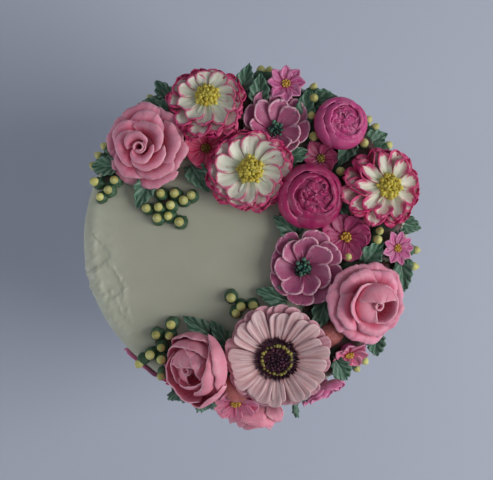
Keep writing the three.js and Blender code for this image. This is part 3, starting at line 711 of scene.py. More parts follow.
# Anemones: cupped mauve petals, each with a thick pale rim, round dark green stamens.
anemoneLook = {
    "heart": (0.24, 0.03, 0.09),
    "body": (0.44, 0.10, 0.21),
    "tip": (0.50, 0.14, 0.27),
    "streak": (0.56, 0.19, 0.33),
    "under": (0.42, 0.07, 0.17),
    "rim": (0.78, 0.45, 0.54),
    "rimWidth": 1.1,
    "rimFrom": 0.2,
    "glow": 0.15,
}
anemoneRings = [
    {"count": 8, "start": 30, "width": 0.37, "cup": 0.12, "tilt": 0.16, "frill": 0.02, "widest": 0.66,
     "foot": 0.4,
     "uneven": 0.06, "scatter": 6.0,
     "spine": [(0.26, 0.1), (0.6, 0.16), (0.85, 0.3), (1.0, 0.34)], "grid": (19, 15),
     "thick": (0.0011, 0.0015)},
    {"count": 7, "start": 30, "width": 0.32, "cup": 0.3, "tilt": 0.34, "frill": 0.016, "widest": 0.66,
     "foot": 0.45,
     "uneven": 0.08, "scatter": 9.0,
     "spine": [(0.12, 0.22), (0.4, 0.2), (0.64, 0.36), (0.78, 0.5)], "grid": (19, 15),
     "thick": (0.0011, 0.0015)},
]


def anemone(size, sunk, seed):
    petals = [flowerFoot(size, sunk, 0.2, 0.7)]
    for n, ring in enumerate(anemoneRings):
        petals += petalRing(size, ring, seed * 10 + n)
    stamens = [domeOf(size, 0.14, 0.26, 0.1)]
    stamens += dotDome(size, 22, 0.23, 0.3, 0.05, seed, bulge=0.5, jitter=0.4, scatter=0.12)
    return {"petals": (petals, "anemone"), "stamens": (stamens, "stamen")}


# The daisy: two layers of long rounded petals with ridges, and a dark middle ringed with yellow.
daisyLook = {
    "heart": (0.44, 0.18, 0.19),
    "body": (0.64, 0.35, 0.36),
    "tip": (0.76, 0.52, 0.53),
    "streak": (0.74, 0.50, 0.49),
    # Painted highlight on the ridge crests.
    "mark": (0.86, 0.70, 0.69),
    "markStrength": 0.7,
    "under": (0.62, 0.20, 0.28),
    "rim": (0.84, 0.60, 0.62),
    "rimWidth": 0.7,
    "rimStrength": 0.75,
    "glow": 0.15,
}
daisyOuterLook = {
    **daisyLook, "body": (0.62, 0.27, 0.32), "tip": (0.68, 0.33, 0.40), "streak": (0.72, 0.42, 0.46),
    "rim": (0.80, 0.46, 0.52)}
daisyOuter = {
    "count": 26, "start": 0, "width": 0.15, "cup": 0.16, "ridge": 0.006, "ridges": 3, "widest": 0.8,
    "marked": 0.6, "spine": [(0.36, 0.12), (0.6, 0.17), (0.85, 0.27), (1.0, 0.26)], "foot": 0.55,
    "tilt": 0.26,
    "grid": (15, 13), "scatter": 3.0,
}
daisyUpper = {
    "count": 24, "start": 7, "width": 0.14, "cup": 0.18, "ridge": 0.008, "ridges": 3, "widest": 0.8,
    "marked": 1.0, "spine": [(0.34, 0.24), (0.55, 0.27), (0.76, 0.37), (0.93, 0.36)], "foot": 0.5,
    "tilt": 0.26,
    "grid": (15, 13), "uneven": 0.07, "scatter": 5.0,
}


def daisy(size, sunk, seed):
    outer = [flowerFoot(size, sunk, 0.2, 0.8)] + petalRing(size, daisyOuter, seed * 10)
    petals = petalRing(size, daisyUpper, seed * 10 + 1)
    eye = [domeOf(size, 0.38, 0.27, 0.05)]
    random = np.random.default_rng(seed)
    spike = lathe([(0, 0), (1, 0), (0.75, 0.5), (0.3, 0.85), (0, 1)], 6)
    for n in range(150):
        angle = n * goldenAngle
        away = random.uniform(0.31, 0.4)
        lean = random.uniform(35, 75)
        place = holder(away * math.cos(angle) * size, away * math.sin(angle) * size, 0.29 * size,
                       lean, math.degrees(angle))
        thorn = placed(spike, place @ Matrix.Diagonal((0.013 * size, 0.013 * size, 0.08 * size, 1)))
        thorn["shade"] = np.full(len(thorn["points"]), random.uniform(0, 1))
        eye.append(thorn)
    eye += dotDome(size, 46, 0.24, 0.32, 0.03, seed, bulge=0.1, jitter=0.35, scatter=0.12)
    dots = dotRing(size, 28, 0.28, 0.345, 0.029, seed, jitter=0.35)
    return {
        "outer": (outer, "daisyOuter"), "petals": (petals, "daisy"), "eye": (eye, "daisyEye"),
        "dots": (dots, "dullYellow"),
    }


# Ranunculus: a ball of petals wrapped round each other, with a ruffled whorl inside.
ranunculusLook = {
    "heart": (0.28, 0.02, 0.09),
    "heartReach": 0.6,
    "body": (0.46, 0.05, 0.17),
    "tip": (0.52, 0.08, 0.21),
    "streak": (0.54, 0.10, 0.24),
    "under": (0.44, 0.045, 0.15),
    "rim": (0.62, 0.15, 0.31),
    "rimWidth": 0.8,
    "rimStrength": 0.6,
    "glow": 0.22,
    "grain": 0.35,
}
pinkRanunculusLook = {
    **ranunculusLook, "heart": (0.34, 0.03, 0.12), "body": (0.60, 0.10, 0.27), "tip": (0.68, 0.16, 0.36),
    "streak": (0.70, 0.18, 0.38), "under": (0.58, 0.09, 0.25), "rim": (0.78, 0.27, 0.48)}
ranunculusRings = [
    {"count": 4, "start": 0, "half": 70, "lap": 0.06, "ruffle": 0.03, "jag": 0.01, "scatter": 10.0,
     "uneven": 0.05,
     "middle": [(0.56, 0.0), (1.2, 0.16), (1.12, 0.84), (0.8, 0.9)],
     "side": [(0.54, 0.0), (1.1, 0.12), (1.04, 0.56), (0.86, 0.68)]},
    {"count": 3, "start": 33, "half": 80, "lap": 0.07, "ruffle": 0.04, "jag": 0.014, "scatter": 12.0,
     "uneven": 0.07,
     "middle": [(0.6, 0.2), (0.94, 0.4), (0.9, 0.98), (0.6, 0.97)],
     "side": [(0.56, 0.2), (0.88, 0.36), (0.84, 0.8), (0.66, 0.88)]},
    {"count": 4, "start": 80, "half": 50, "lap": 0.12, "ruffle": 0.07, "jag": 0.02, "scatter": 18.0,
     "uneven": 0.12,
     "middle": [(0.56, 0.66), (0.62, 0.8), (0.56, 0.97), (0.4, 0.94)],
     "side": [(0.52, 0.66), (0.58, 0.76), (0.54, 0.88), (0.44, 0.88)]},
    {"count": 4, "start": 20, "half": 46, "lap": -0.12, "ruffle": 0.08, "jag": 0.02, "scatter": 24.0,
     "uneven": 0.14,
     "middle": [(0.4, 0.66), (0.46, 0.8), (0.4, 0.95), (0.26, 0.91)],
     "side": [(0.36, 0.66), (0.42, 0.76), (0.4, 0.86), (0.3, 0.86)]},
    {"count": 3, "start": 110, "half": 54, "lap": 0.12, "ruffle": 0.07, "jag": 0.02, "scatter": 28.0,
     "uneven": 0.16,
     "middle": [(0.2, 0.66), (0.28, 0.78), (0.24, 0.93), (0.1, 0.89)],
     "side": [(0.18, 0.66), (0.26, 0.76), (0.22, 0.86), (0.14, 0.86)]},
    {"count": 1, "start": 40, "half": 100, "lap": 0.05, "ruffle": 0.03, "scatter": 30.0,
     "middle": [(0.02, 0.66), (0.1, 0.74), (0.11, 0.88), (0.06, 0.91)],
     "side": [(0.02, 0.66), (0.09, 0.72), (0.09, 0.85), (0.06, 0.88)]},
]


def ranunculusOf(finish):
    def ranunculus(size, sunk, seed):
        core = domeOf(size, 0.86, 0.72, 0.19)
        core["along"][:] = 0.45
        petals = [flowerFoot(size, sunk, 0.6, 0.86), core]
        for n, ring in enumerate(ranunculusRings):
            petals += petalRing(size, {**ring, "thick": (0.001, 0.0017)}, seed * 10 + n)
        return {"petals": (petals, finish)}

    return ranunculus


# Blossoms: one ring of petals round a small raised eye.
magentaLook = {
    "heart": (0.22, 0.012, 0.05),
    "body": (0.38, 0.035, 0.13),
    "tip": (0.44, 0.06, 0.18),
    "streak": (0.48, 0.09, 0.22),
    # Painted highlight on the ridge crests.
    "mark": (0.56, 0.15, 0.29),
    "markStrength": 0.5,
    "under": (0.36, 0.03, 0.11),
    "rim": (0.52, 0.11, 0.24),
    "rimWidth": 0.6,
    "rimStrength": 0.6,
    "glow": 0.15,
}
maroonLook = {**magentaLook, "heart": (0.14, 0.008, 0.03), "body": (0.36, 0.03, 0.10),
              "tip": (0.42, 0.05, 0.13)}
hotPinkLook = {
    "heart": (0.40, 0.03, 0.13),
    "body": (0.56, 0.09, 0.27),
    "tip": (0.66, 0.19, 0.39),
    "streak": (0.72, 0.26, 0.46),
    # Painted highlight on the ridge crests.
    "mark": (0.84, 0.46, 0.62),
    "markStrength": 0.5,
    "under": (0.54, 0.08, 0.25),
    "rim": (0.80, 0.42, 0.56),
    "rimWidth": 0.6,
    "rimStrength": 0.6,
    "glow": 0.18,
}
frillLook = {**hotPinkLook, "heart": (0.5, 0.08, 0.22), "body": (0.70, 0.22, 0.40),
             "under": (0.66, 0.18, 0.36)}
# Its ridge-crest colour is a painted highlight.
crimsonLook = {
    **magentaLook, "heart": (0.56, 0.02, 0.08), "body": (0.80, 0.05, 0.16), "tip": (0.80, 0.10, 0.22),
    "streak": (0.66, 0.14, 0.26), "mark": (0.76, 0.30, 0.42), "rim": (0.70, 0.20, 0.32)}
warmPinkLook = {
    **hotPinkLook, "heart": (0.50, 0.04, 0.12), "body": (0.72, 0.14, 0.26), "tip": (0.78, 0.26, 0.38),
    "streak": (0.80, 0.32, 0.42)}


def blossomWith(count, pointed, look, eyeFinish="blossomEye"):
    outline = {"widest": 0.5, "blunt": 1.5, "taper": 0.9, "tipShare": 0.06} if pointed else {
        "widest": 0.66, "tipShare": 0.2}
    width = (2.7 if pointed else 3.5) / count
    ring = {"count": count, "start": 0, "width": width, "cup": 0.34, "tilt": 0.16, "frill": 0.03,
            "crease": 0.03 if pointed else 0.0, "uneven": 0.08, "foot": 0.35, "jag": 0.014,
            "scatter": 5.0,
            "ridge": 0.016, "ridges": 3, "marked": 1.0, "grid": (15, 15),
            "spine": [(0.14, 0.18), (0.45, 0.2), (0.8, 0.4), (1.0, 0.42)], **outline}

    def blossom(size, sunk, seed):
        petals = [flowerFoot(size, sunk, 0.2, 0.6)] + petalRing(size, ring, seed * 10)
        eye = [domeOf(size, 0.17, 0.24, 0.1)] + dotRing(size, 9, 0.18, 0.33, 0.062, seed, jitter=0.3)
        inside = dotDome(size, 5, 0.09, 0.34, 0.055, seed, bulge=0.3)
        return {"petals": (petals, look), "eye": (eye + inside, eyeFinish)}

    return blossom


def ruffle(size, sunk, seed):
    rings = [
        {"count": 5, "start": 0, "half": 46, "lap": 0.06, "ruffle": 0.04, "jag": 0.005, "square": 3.0,
         "uneven": 0.08,
         "middle": [(0.2, 0.1), (0.8, 0.06), (1.0, 0.3), (0.97, 0.52)],
         "side": [(0.2, 0.1), (0.72, 0.06), (0.84, 0.2), (0.84, 0.3)]},
        {"count": 4, "start": 36, "half": 52, "lap": 0.06, "ruffle": 0.04, "jag": 0.005, "square": 2.6,
         "uneven": 0.08,
         "middle": [(0.16, 0.16), (0.5, 0.14), (0.66, 0.4), (0.6, 0.58)],
         "side": [(0.14, 0.16), (0.44, 0.14), (0.56, 0.3), (0.54, 0.4)]},
    ]
    petals = [flowerFoot(size, sunk, 0.2, 0.6)]
    for n, ring in enumerate(rings):
        petals += petalRing(size, ring, seed * 10 + n)
    eye = dotDome(size, 8, 0.12, 0.34, 0.05, seed)
    return {"petals": (petals, "frill"), "eye": (eye, "blossomEye")}


finishes = {
    "rose": (buttercream("pink rose buttercream", roseLook), "rose_pink"),
    "dahlia": (buttercream("white and magenta buttercream", dahliaLook), "petal_white"),
    "dahliaLower": (buttercream("magenta edged buttercream", dahliaLowerLook), "petal_white"),
    "dahliaSkirt": (buttercream("magenta frill buttercream", dahliaSkirtLook), "petal_white"),
    "anemone": (buttercream("mauve buttercream", anemoneLook), "mauve"),
    "daisy": (buttercream("pale daisy buttercream", daisyLook), "daisy_blush"),
    "daisyOuter": (buttercream("pink daisy buttercream", daisyOuterLook), "daisy_blush"),
    "ranunculus": (buttercream("magenta ranunculus buttercream", ranunculusLook), "magenta"),
    "pinkRanunculus": (buttercream("pink ranunculus buttercream", pinkRanunculusLook), "magenta"),
    "magenta": (buttercream("magenta blossom buttercream", magentaLook), "magenta"),
    "maroon": (buttercream("maroon blossom buttercream", maroonLook), "magenta"),
    "crimson": (buttercream("crimson blossom buttercream", crimsonLook), "magenta"),
    "warmPink": (buttercream("warm pink blossom buttercream", warmPinkLook), "blossom_pink"),
    "hotPink": (buttercream("bright pink blossom buttercream", hotPinkLook), "blossom_pink"),
    "frill": (buttercream("pink frill buttercream", frillLook), "blossom_pink"),
    "yellow": (plainCream("yellow dots", (0.74, 0.64, 0.11), (0.54, 0.42, 0.05), tone=(0.75, 1.15)),
               None),
    "dullYellow": (plainCream("dull yellow dots", (0.42, 0.38, 0.10), (0.26, 0.22, 0.04),
                              tone=(0.5, 1.25)), None),
    "stamen": (plainCream("dark green stamens", (0.015, 0.05, 0.04), (0.06, 0.16, 0.10), glow=0.05,
                          tone=(0.5, 2.2)), None),
    "daisyEye": (plainCream("dark daisy middle", (0.035, 0.008, 0.02), (0.09, 0.02, 0.045), glow=0.03),
                 None),
    "blossomEye": (plainCream("golden blossom eyes", (0.72, 0.46, 0.08), (0.50, 0.25, 0.03)), None),
    "oliveEye": (plainCream("olive blossom eye", (0.34, 0.26, 0.05), (0.20, 0.12, 0.03)), None),
}
print("materials ready")


# Draws a flower's middle aside by shares of its radius, while its outermost petals stay.
def heartMoved(shape, size, heart):
    points = shape["points"].copy()
    share = np.clip(1 - (points[:, 0] ** 2 + points[:, 1] ** 2) / size ** 2, 0, 1)
    points[:, 0] += heart[0] * size * share
    points[:, 1] += heart[1] * size * share
    return {**shape, "points": points}


def addFlower(name, make, size, seed, sunk, place, heart=(0, 0), flat=1):
    matrix = holder(**place) @ Matrix.Diagonal((1, 1, flat, 1))
    for label, (shapes, finish) in make(size, sunk / flat, seed).items():
        material, slot = finishes[finish]
        moved = [placed(heartMoved(shape, size, heart), matrix) for shape in shapes]
        addPiece(f"{name}_{label}", moved, material, [name])


footShare = 0.42  # a flower's foot, as a share of its radius
footSink = 0.0015

# The flowers on the top: radius, place, lift above the top, how far each leans to which side, and
# how far its middle sits aside.
topFlowers = {
    "rose_left": dict(make=spiralRose, size=0.023, x=-0.0549, y=0.0527, lean=10, towards=205, turn=20,
                      heart=(-0.09, 0)),
    "dahlia_top": dict(make=dahliaWith(False), size=0.0215, x=-0.0226, y=0.0733, lift=0.003, lean=22,
                       towards=95,
                       heart=(0.01, 0.19)),
    "dahlia_mid": dict(make=dahliaWith(False), size=0.0232, x=0.0019, y=0.039, lift=0.004, lean=3,
                       towards=250),
    "rose_right": dict(make=foldedRose, size=0.023, x=0.065, y=-0.0339, lift=0.002, lean=16, towards=345,
                       heart=(0.13, -0.08)),
    "dahlia_right": dict(make=dahliaWith(True), size=0.0222, x=0.0734, y=0.0286, lift=0.002, lean=18,
                         towards=10,
                         heart=(0.18, 0.02)),
    "daisy": dict(make=daisy, size=0.0292, x=0.0173, y=-0.0639, lift=0.005, lean=8, towards=270,
                  heart=(-0.03, -0.07)),
    "rose_low": dict(make=leaningRose, size=0.0226, x=-0.0218, y=-0.0703, lift=0.005, lean=42,
                     towards=190),
    "ranunculus_mid": dict(make=ranunculusOf("ranunculus"), size=0.0172, x=0.0355, y=0.0242, lean=4,
                           towards=300,
                           heart=(0.14, 0.1)),
    "ranunculus_right": dict(make=ranunculusOf("pinkRanunculus"), size=0.0144, x=0.0516, y=0.0634,
                             lean=15, towards=45,
                             heart=(0.05, 0.08)),
    "anemone_low": dict(make=anemone, size=0.0208, x=0.0336, y=-0.0162, lift=0.001, lean=4, towards=180,
                        heart=(-0.09, 0)),
    "anemone_top": dict(make=anemone, size=0.0188, x=0.0157, y=0.0646, lean=8, towards=60,
                        heart=(0, -0.19)),
    "blossom_top": dict(make=blossomWith(8, True, "hotPink"), size=0.011, x=0.0219, y=0.087,
                        lean=14, towards=80),
    "blossom_arch": dict(make=blossomWith(6, True, "maroon", "oliveEye"), size=0.0105, x=0.0417,
                         y=0.0456),
    "blossom_mid": dict(make=blossomWith(8, False, "magenta"), size=0.0132, x=0.0558, y=0.0011, turn=15),
    "blossom_edge": dict(make=blossomWith(9, True, "hotPink"), size=0.0098, x=0.0842, y=-0.0051,
                         lean=20, towards=355),
    "blossom_under": dict(make=blossomWith(6, False, "crimson", "oliveEye"), size=0.0124, x=-0.0232,
                          y=0.0513,
                          turn=30),
    "blossom_corner": dict(make=blossomWith(7, True, "warmPink"), size=0.0112, x=0.0575, y=-0.0635,
                           lean=46, towards=285),
}

# The flowers on the wall: angle round the cake, depth under the top, how far each is turned up,
# lifted off the wall and pressed flat.
wallFlowers = {
    "side_rose": dict(make=smallRose, size=0.0165, angle=-87, depth=0.023, upturn=10, lift=0.005),
    "side_dahlia": dict(make=dahliaWith(False), size=0.017, angle=-114, depth=0.028, upturn=4, flat=0.6),
    "side_ruffle_left": dict(make=ruffle, size=0.013, angle=-131, depth=0.017, upturn=4, flat=0.55),
    "side_ruffle_right": dict(make=ruffle, size=0.014, angle=-63.8, depth=0.019, upturn=14, lift=0.003),
    "side_blossom": dict(make=blossomWith(7, False, "warmPink"), size=0.0125, angle=-94, depth=0.007,
                         upturn=48),
}

for number, (name, flower) in enumerate(topFlowers.items()):
    size, lean, lift = flower["size"], flower.get("lean", 0), flower.get("lift", 0)
    foot = footShare * size
    rim = surfaceHeight(min(math.hypot(flower["x"], flower["y"]) + foot, cake["radius"] - 0.001))
    sunk = cakeTop - rim + lift + foot * math.sin(math.radians(lean)) + footSink
    spot = {key: flower[key] for key in ("x", "y", "lean", "towards", "turn") if key in flower}
    addFlower(name, flower["make"], size, 10 + number, sunk, {**spot, "z": cakeTop + lift},
              flower.get("heart", (0, 0)))

for number, (name, flower) in enumerate(wallFlowers.items()):
    angle, size, lift = math.radians(flower["angle"]), flower["size"], flower.get("lift", 0)
    sunk = footShare * size * math.sin(math.radians(flower["upturn"])) + footSink + lift
    away = cake["radius"] + lift
    spot = {"x": away * math.cos(angle), "y": away * math.sin(angle),
            "z": cakeTop - flower["depth"], "lean": 90 - flower["upturn"], "towards": flower["angle"]}
    addFlower(name, flower["make"], size, 80 + number, sunk, spot, flat=flower.get("flat", 1))
print("flowers piped:", len(topFlowers) + len(wallFlowers))

# Mounds that prop up the flowers beside them.
mounds = {
    "mound_front": dict(x=-0.0055, y=-0.084, size=0.009, seed=1),
    "mound_corner": dict(x=0.047, y=-0.054, size=0.008, seed=2),
}
salmonCream = plainCream("salmon buttercream", (0.64, 0.22, 0.20), (0.56, 0.15, 0.14), glow=0.2, bump=0.5)
for name, mound in mounds.items():
    shape = ball(32, 17)
    lumps = 1 + 0.06 * unevenWave(shape["points"], 0.9, mound["seed"])
    shape["points"] = shape["points"] * lumps[:, None] * np.array([1, 1, 0.8]) * mound["size"] * 0.97
    spot = Matrix.Translation((mound["x"], mound["y"], cakeTop))
    addPiece(f"{name}_cream", [placed(shape, spot)], salmonCream, [name])

# Leaves: the middle of each, the way its tip points, and how steeply it droops.
# Pale midrib and painted highlights on the ripple crests, with the base partly darkened as painted shade.
leafLook = {
    "heart": (0.02, 0.06, 0.035),
    "body": (0.055, 0.14, 0.08),
    "tip": (0.085, 0.19, 0.12),
    "streak": (0.13, 0.25, 0.17),
    "mark": (0.36, 0.50, 0.41),
    "markStrength": 0.7,
    "under": (0.035, 0.10, 0.06),
    "rim": (0.18, 0.32, 0.24),
    "rimWidth": 0.5,
    "rimStrength": 0.5,
    "glow": 0.08,
    "streakDepth": 0.5,
    "grain": 0.3,
}
leafShape = {
    "length": 0.017,
    "width": 0.0105,
    "lift": 0.002,
}
leaves = [
    (-0.047, 0.083, 125, 12), (-0.053, 0.0765, 165, 20), (-0.0455, 0.071, 118, 0),
    (-0.0805, 0.041, 185, 24), (-0.0588, 0.0263, 242, 6), (-0.027, 0.034, 300, 0),
    (-0.001, 0.0908, 76, 18), (0.007, 0.085, 84, 8), (0.0335, 0.075, 78, 0),
    (0.0445, 0.079, 5, 10), (0.0275, 0.047, 0, 0), (0.0558, 0.0484, 250, 4),
    (0.073, 0.0565, 25, 14), (0.092, 0.008, 342, 22), (0.057, 0.017, 300, 0),
    (0.022, 0.0075, 142, 4), (0.0715, -0.0075, 50, 0), (0.0885, -0.021, 280, 18),
    (0.014, -0.032, 160, 4), (0.042, -0.0433, 255, 0), (0.0735, -0.0595, 285, 38),
    (0.0535, -0.074, 305, 40), (-0.0285, -0.0495, 150, 2), (-0.0145, -0.0535, 118, 2),
    (-0.0385, -0.088, 262, 62), (-0.024, -0.0935, 285, 66), (0.027, -0.094, 335, 86),
]


# A piped leaf: a crease down its middle, ripples swept forward from it, and a toothed edge.
def leaf(seed):
    spec = {"width": 0.5 * leafShape["width"] / leafShape["length"] * 1.1, "widest": 0.36, "blunt": 1.25,
            "taper": 0.9, "tipShare": 0.03, "foot": 0.6, "cup": 0.5, "crease": 0.06, "chevron": 0.05,
            "chevrons": 3.6, "frill": 0.035, "waves": 4.0, "serrate": 0.24, "teeth": 4.5,
            "grid": (33, 19),
            "uneven": 0.1, "jag": 0.02, "sway": 0.09,
            "spine": [(-0.5, 0.0), (-0.2, 0.16), (0.2, 0.17), (0.5, 0.05)], "thick": (0.0007, 0.0013)}
    return bladePetal(leafShape["length"], 0, spec, seed)


leafCream = buttercream("blue-green leaf buttercream", leafLook)
for number, (x, y, points, droop) in enumerate(leaves):
    spot = holder(x, y, surfaceHeight(math.hypot(x, y)) + leafShape["lift"], droop, points, points)
    name = f"leaf_{number + 1:02d}"
    addPiece(f"{name}_piped", [placed(leaf(100 + number), spot)], leafCream, [name])
print("leaves piped:", len(leaves))

# Buds: yellow balls on green mounds, in sprays, as (x, y) of each ball, and its depth under the top
# where it grows out of the wall.
bud = {
    "height": 0.0078,
    "moundRadius": 0.0036,
    "ballRadius": 0.0025,
    "edgeStay": 0.0035,  # how far inside the edge a leaning bud stands
}
budSprays = [
    (-0.0827, 0.0538, 0.007), (-0.0846, 0.0477, 0.007), (-0.0883, 0.0422, 0.007), (-0.0863, 0.0324),
    (-0.0748, 0.0332),
    (-0.0783, 0.0276), (-0.0829, 0.0237),
    (-0.0488, 0.0258), (-0.041, 0.0258), (-0.0359, 0.0219), (-0.0315, 0.0247), (-0.0568, 0.0174),
    (-0.05, 0.018), (-0.0432, 0.0191), (-0.0507, 0.0118), (-0.0444, 0.0129), (-0.0383, 0.0096),
    (-0.0562, 0.0818, 0.007), (0.008, 0.0971, 0.007), (0.0129, 0.0971, 0.007), (0.0379, 0.0865),
    (0.0377, 0.0794),
    (0.0365, 0.0696), (0.0376, 0.0578),
    (0.0704, 0.0693, 0.007), (0.0744, 0.0648, 0.007), (0.0659, 0.0541), (0.0826, 0.0547, 0.007),
    (0.0527, 0.0381),
    (0.0746, 0.0046), (0.0736, -0.0004), (0.0567, -0.0101), (0.0969, -0.0063, 0.009),
    (0.094, -0.0154, 0.009),
    (0.0607, -0.0718, 0.009), (0.066, -0.0684, 0.009), (-0.009, -0.0332), (-0.0034, -0.0382),
    (-0.0062, -0.0419),
    (0.0034, -0.0377),
    (-0.0428, -0.0484), (-0.0513, -0.0541), (-0.0438, -0.0545), (-0.0484, -0.0613), (-0.0547, -0.0654),
    (-0.0484, -0.068), (-0.0487, -0.0776), (-0.0625, -0.0723),
]


# Where a bud stands: on the surface, leaning out over the edge to bring its ball to its place, or
# straight out of the wall.
def budPlace(x, y, depth=None):
    distance, angle = math.hypot(x, y), math.atan2(y, x)
    if depth is not None:
        wall = cake["radius"]
        return holder(wall * math.cos(angle), wall * math.sin(angle), cakeTop - depth, 90,
                      math.degrees(angle))
    stands = min(distance - 0.001, cake["radius"] - bud["edgeStay"])
    reach = min(0.95, (distance - stands) / (bud["height"] - bud["ballRadius"]))
    return holder(stands * math.cos(angle), stands * math.sin(angle), surfaceHeight(stands),
                  math.degrees(math.asin(reach)), math.degrees(angle))


moundOutline = [(0, -0.0012), (0.7, -0.0012), (1.0, 0.0002), (1.0, 0.0018), (0.86, 0.0034), (0.6, 0.0046),
                (0.28, 0.0053), (0, 0.0055)]
greenMounds, yellowBalls = [], []
for number, place in enumerate(budSprays):
    random = np.random.default_rng(300 + number)
    spot = budPlace(*place)
    girth = bud["moundRadius"] * random.uniform(0.95, 1.15)
    lump = lathe([(radius * girth, height) for radius, height in moundOutline], 20)
    lump["points"] += 0.00035 * unevenWave(lump["points"], 0.005, number)[:, None] * np.array([1, 1, 0.5])
    lump["shade"][:] = random.uniform(0, 1)
    greenMounds.append(placed(lump, spot))
    drop = ball(16, 11)
    radius = bud["ballRadius"] * random.uniform(0.88, 1.08)
    peak = np.clip(drop["points"][:, 2], 0, 1) ** 6 * random.uniform(0.1, 0.4)
    drop["points"][:, 2] += peak
    drop["points"] = drop["points"] * radius + np.array([0, 0, bud["height"] - radius])
    drop["shade"][:] = random.uniform(0, 1)
    yellowBalls.append(placed(drop, spot))
budGreen = plainCream("green bud buttercream", (0.035, 0.09, 0.045), (0.09, 0.18, 0.10), glow=0.08,
                      bump=0.6)
budYellow = plainCream("yellow bud buttercream", (0.68, 0.68, 0.27), (0.58, 0.54, 0.16), glow=0.2,
                       bump=0.3)
addPiece("bud_mounds", greenMounds, budGreen, ["cake"])
addPiece("bud_balls", yellowBalls, budYellow, ["cake"])
print("buds piped:", len(budSprays))

# The low bed of green and dark red buttercream that the flowers close over, partly a dark sheet of painted
# shade in the gaps between them, as (x, y, radius) of its lobes.
bed = {
    "height": 0.0022,
    "step": 0.0012,  # spacing of the mesh
    "sunk": 0.0006,
    "lobes": [
        (0.045, 0.036, 0.015), (0.058, 0.046, 0.015), (0.036, 0.06, 0.018), (0.016, 0.076, 0.014),
        (0.04, 0.077, 0.012), (0.066, 0.058, 0.012), (0.058, 0.02, 0.017), (0.074, 0.004, 0.015),
        (0.058, -0.01, 0.014), (0.05, -0.032, 0.013), (0.04, -0.05, 0.013), (0.058, -0.056, 0.014),
        (0.078, -0.024, 0.012), (0.01, 0.052, 0.013), (-0.014, 0.06, 0.013), (-0.032, 0.056, 0.01),
        (-0.04, 0.068, 0.009), (-0.045, 0.076, 0.009), (-0.004, 0.082, 0.01), (-0.012, -0.072, 0.015),
        (-0.032, -0.068, 0.012), (0.002, -0.084, 0.01), (0.04, -0.074, 0.012), (0.016, -0.058, 0.017),
        (-0.046, -0.06, 0.006), (-0.08, 0.034, 0.006), (-0.073, 0.044, 0.009), (-0.045, 0.019, 0.0065),
        (0.086, -0.004, 0.007), (-0.024, -0.056, 0.008), (0.024, 0.012, 0.006),
    ],
}


def bedShape():
    step, reach = bed["step"], cake["radius"] - 0.001
    line = np.arange(-reach, reach + step, step)
    x, y = np.meshgrid(line, line, indexing="ij")
    flat = np.stack([x.ravel(), y.ravel(), 0 * x.ravel()], 1)
    wave = unevenWave(flat, 0.011, 41).reshape(x.shape)
    ripple = unevenWave(flat, 0.004, 42).reshape(x.shape)
    near = np.max([1 - np.hypot(x - cx, y - cy) / r for cx, cy, r in bed["lobes"]], axis=0)
    rise = bed["height"] * np.clip(2.2 * (near + 0.12 * wave), -1, 1) + 0.00035 * ripple
    base = np.vectorize(surfaceHeight)(np.hypot(x, y))
    top = np.stack([x, y, base + rise], -1)
    inside = (rise > -bed["sunk"]) & (np.hypot(x, y) < reach)
    kept = inside[:-1, :-1] & inside[1:, :-1] & inside[1:, 1:] & inside[:-1, 1:]
    columns, count = x.shape[1], x.size
    faces, sides = [], {}
    for i, j in np.argwhere(kept):
        here = i * columns + j
        corners = (here, here + columns, here + columns + 1, here + 1)
        faces += [corners, tuple(count + n for n in corners[::-1])]
        for first, second in zip(corners, corners[1:] + corners[:1]):
            sides[(first, second)] = True
    for first, second in sides:
        if (second, first) not in sides:
            faces.append((first, count + first, count + second, second))
    under = np.stack([x, y, np.minimum(base - 2 * bed["sunk"], top[..., 2] - 0.0002)], -1)
    points = np.concatenate([top.reshape(-1, 3), under.reshape(-1, 3)])
    used = sorted({n for face in faces for n in face})
    place = {n: k for k, n in enumerate(used)}
    faces = [tuple(place[n] for n in face) for face in faces]
    return part(points[used], faces, shade=np.clip(0.5 + 0.5 * np.tile(wave.ravel(), 2)[used], 0, 1))


# Dark green and dark red: partly buttercream, partly painted shade between the flowers.
bedCreamAndShade = plainCream("green and dark red bed", (0.025, 0.06, 0.03), (0.10, 0.02, 0.03), glow=0.05,
                      scale=90.0,
                      bump=0.6, tone=(0.6, 1.5))
addPiece("bed", [bedShape()], bedCreamAndShade, ["cake"])

# The icing: smooth, with faint strokes of the palette knife, and torn and ridged at the bare edge.
icing = {
    "coarseSides": 220,
    "fineSides": 260,
    "fineFrom": 155,  # degrees round the cake, over the torn edge
    "fineTo": 225,
    "topRings": 22,
    "smearRings": 56,
    "edgeRings": 14,
    "wallRings": 30,
    "stroke": 0.00012,  # depth of the faint strokes
    "worked": 0.0002,  # and of the broad strokes at the bare edge
    "bulge": 0.0018,  # how far the icing stands out at the bare edge
    "bulgeAt": 186,
    "bareAt": 193,  # and where the knife worked it over
    "bulgeWide": 38,
    "bareWide": 17,
    "bareFrom": 0.066,  # distance from the middle where the worked icing starts
    "bareFade": 0.012,
    "wander": 0.0003,  # how far a torn line strays
    "tearRamp": 0.0011,  # width of the step beside a torn line
    "tearReach": 0.008,  # and how far out it fades
    "colour": (0.455, 0.465, 0.355),
    "cloud": (0.49, 0.49, 0.39),
    "bareColour": (0.60, 0.63, 0.50),
}
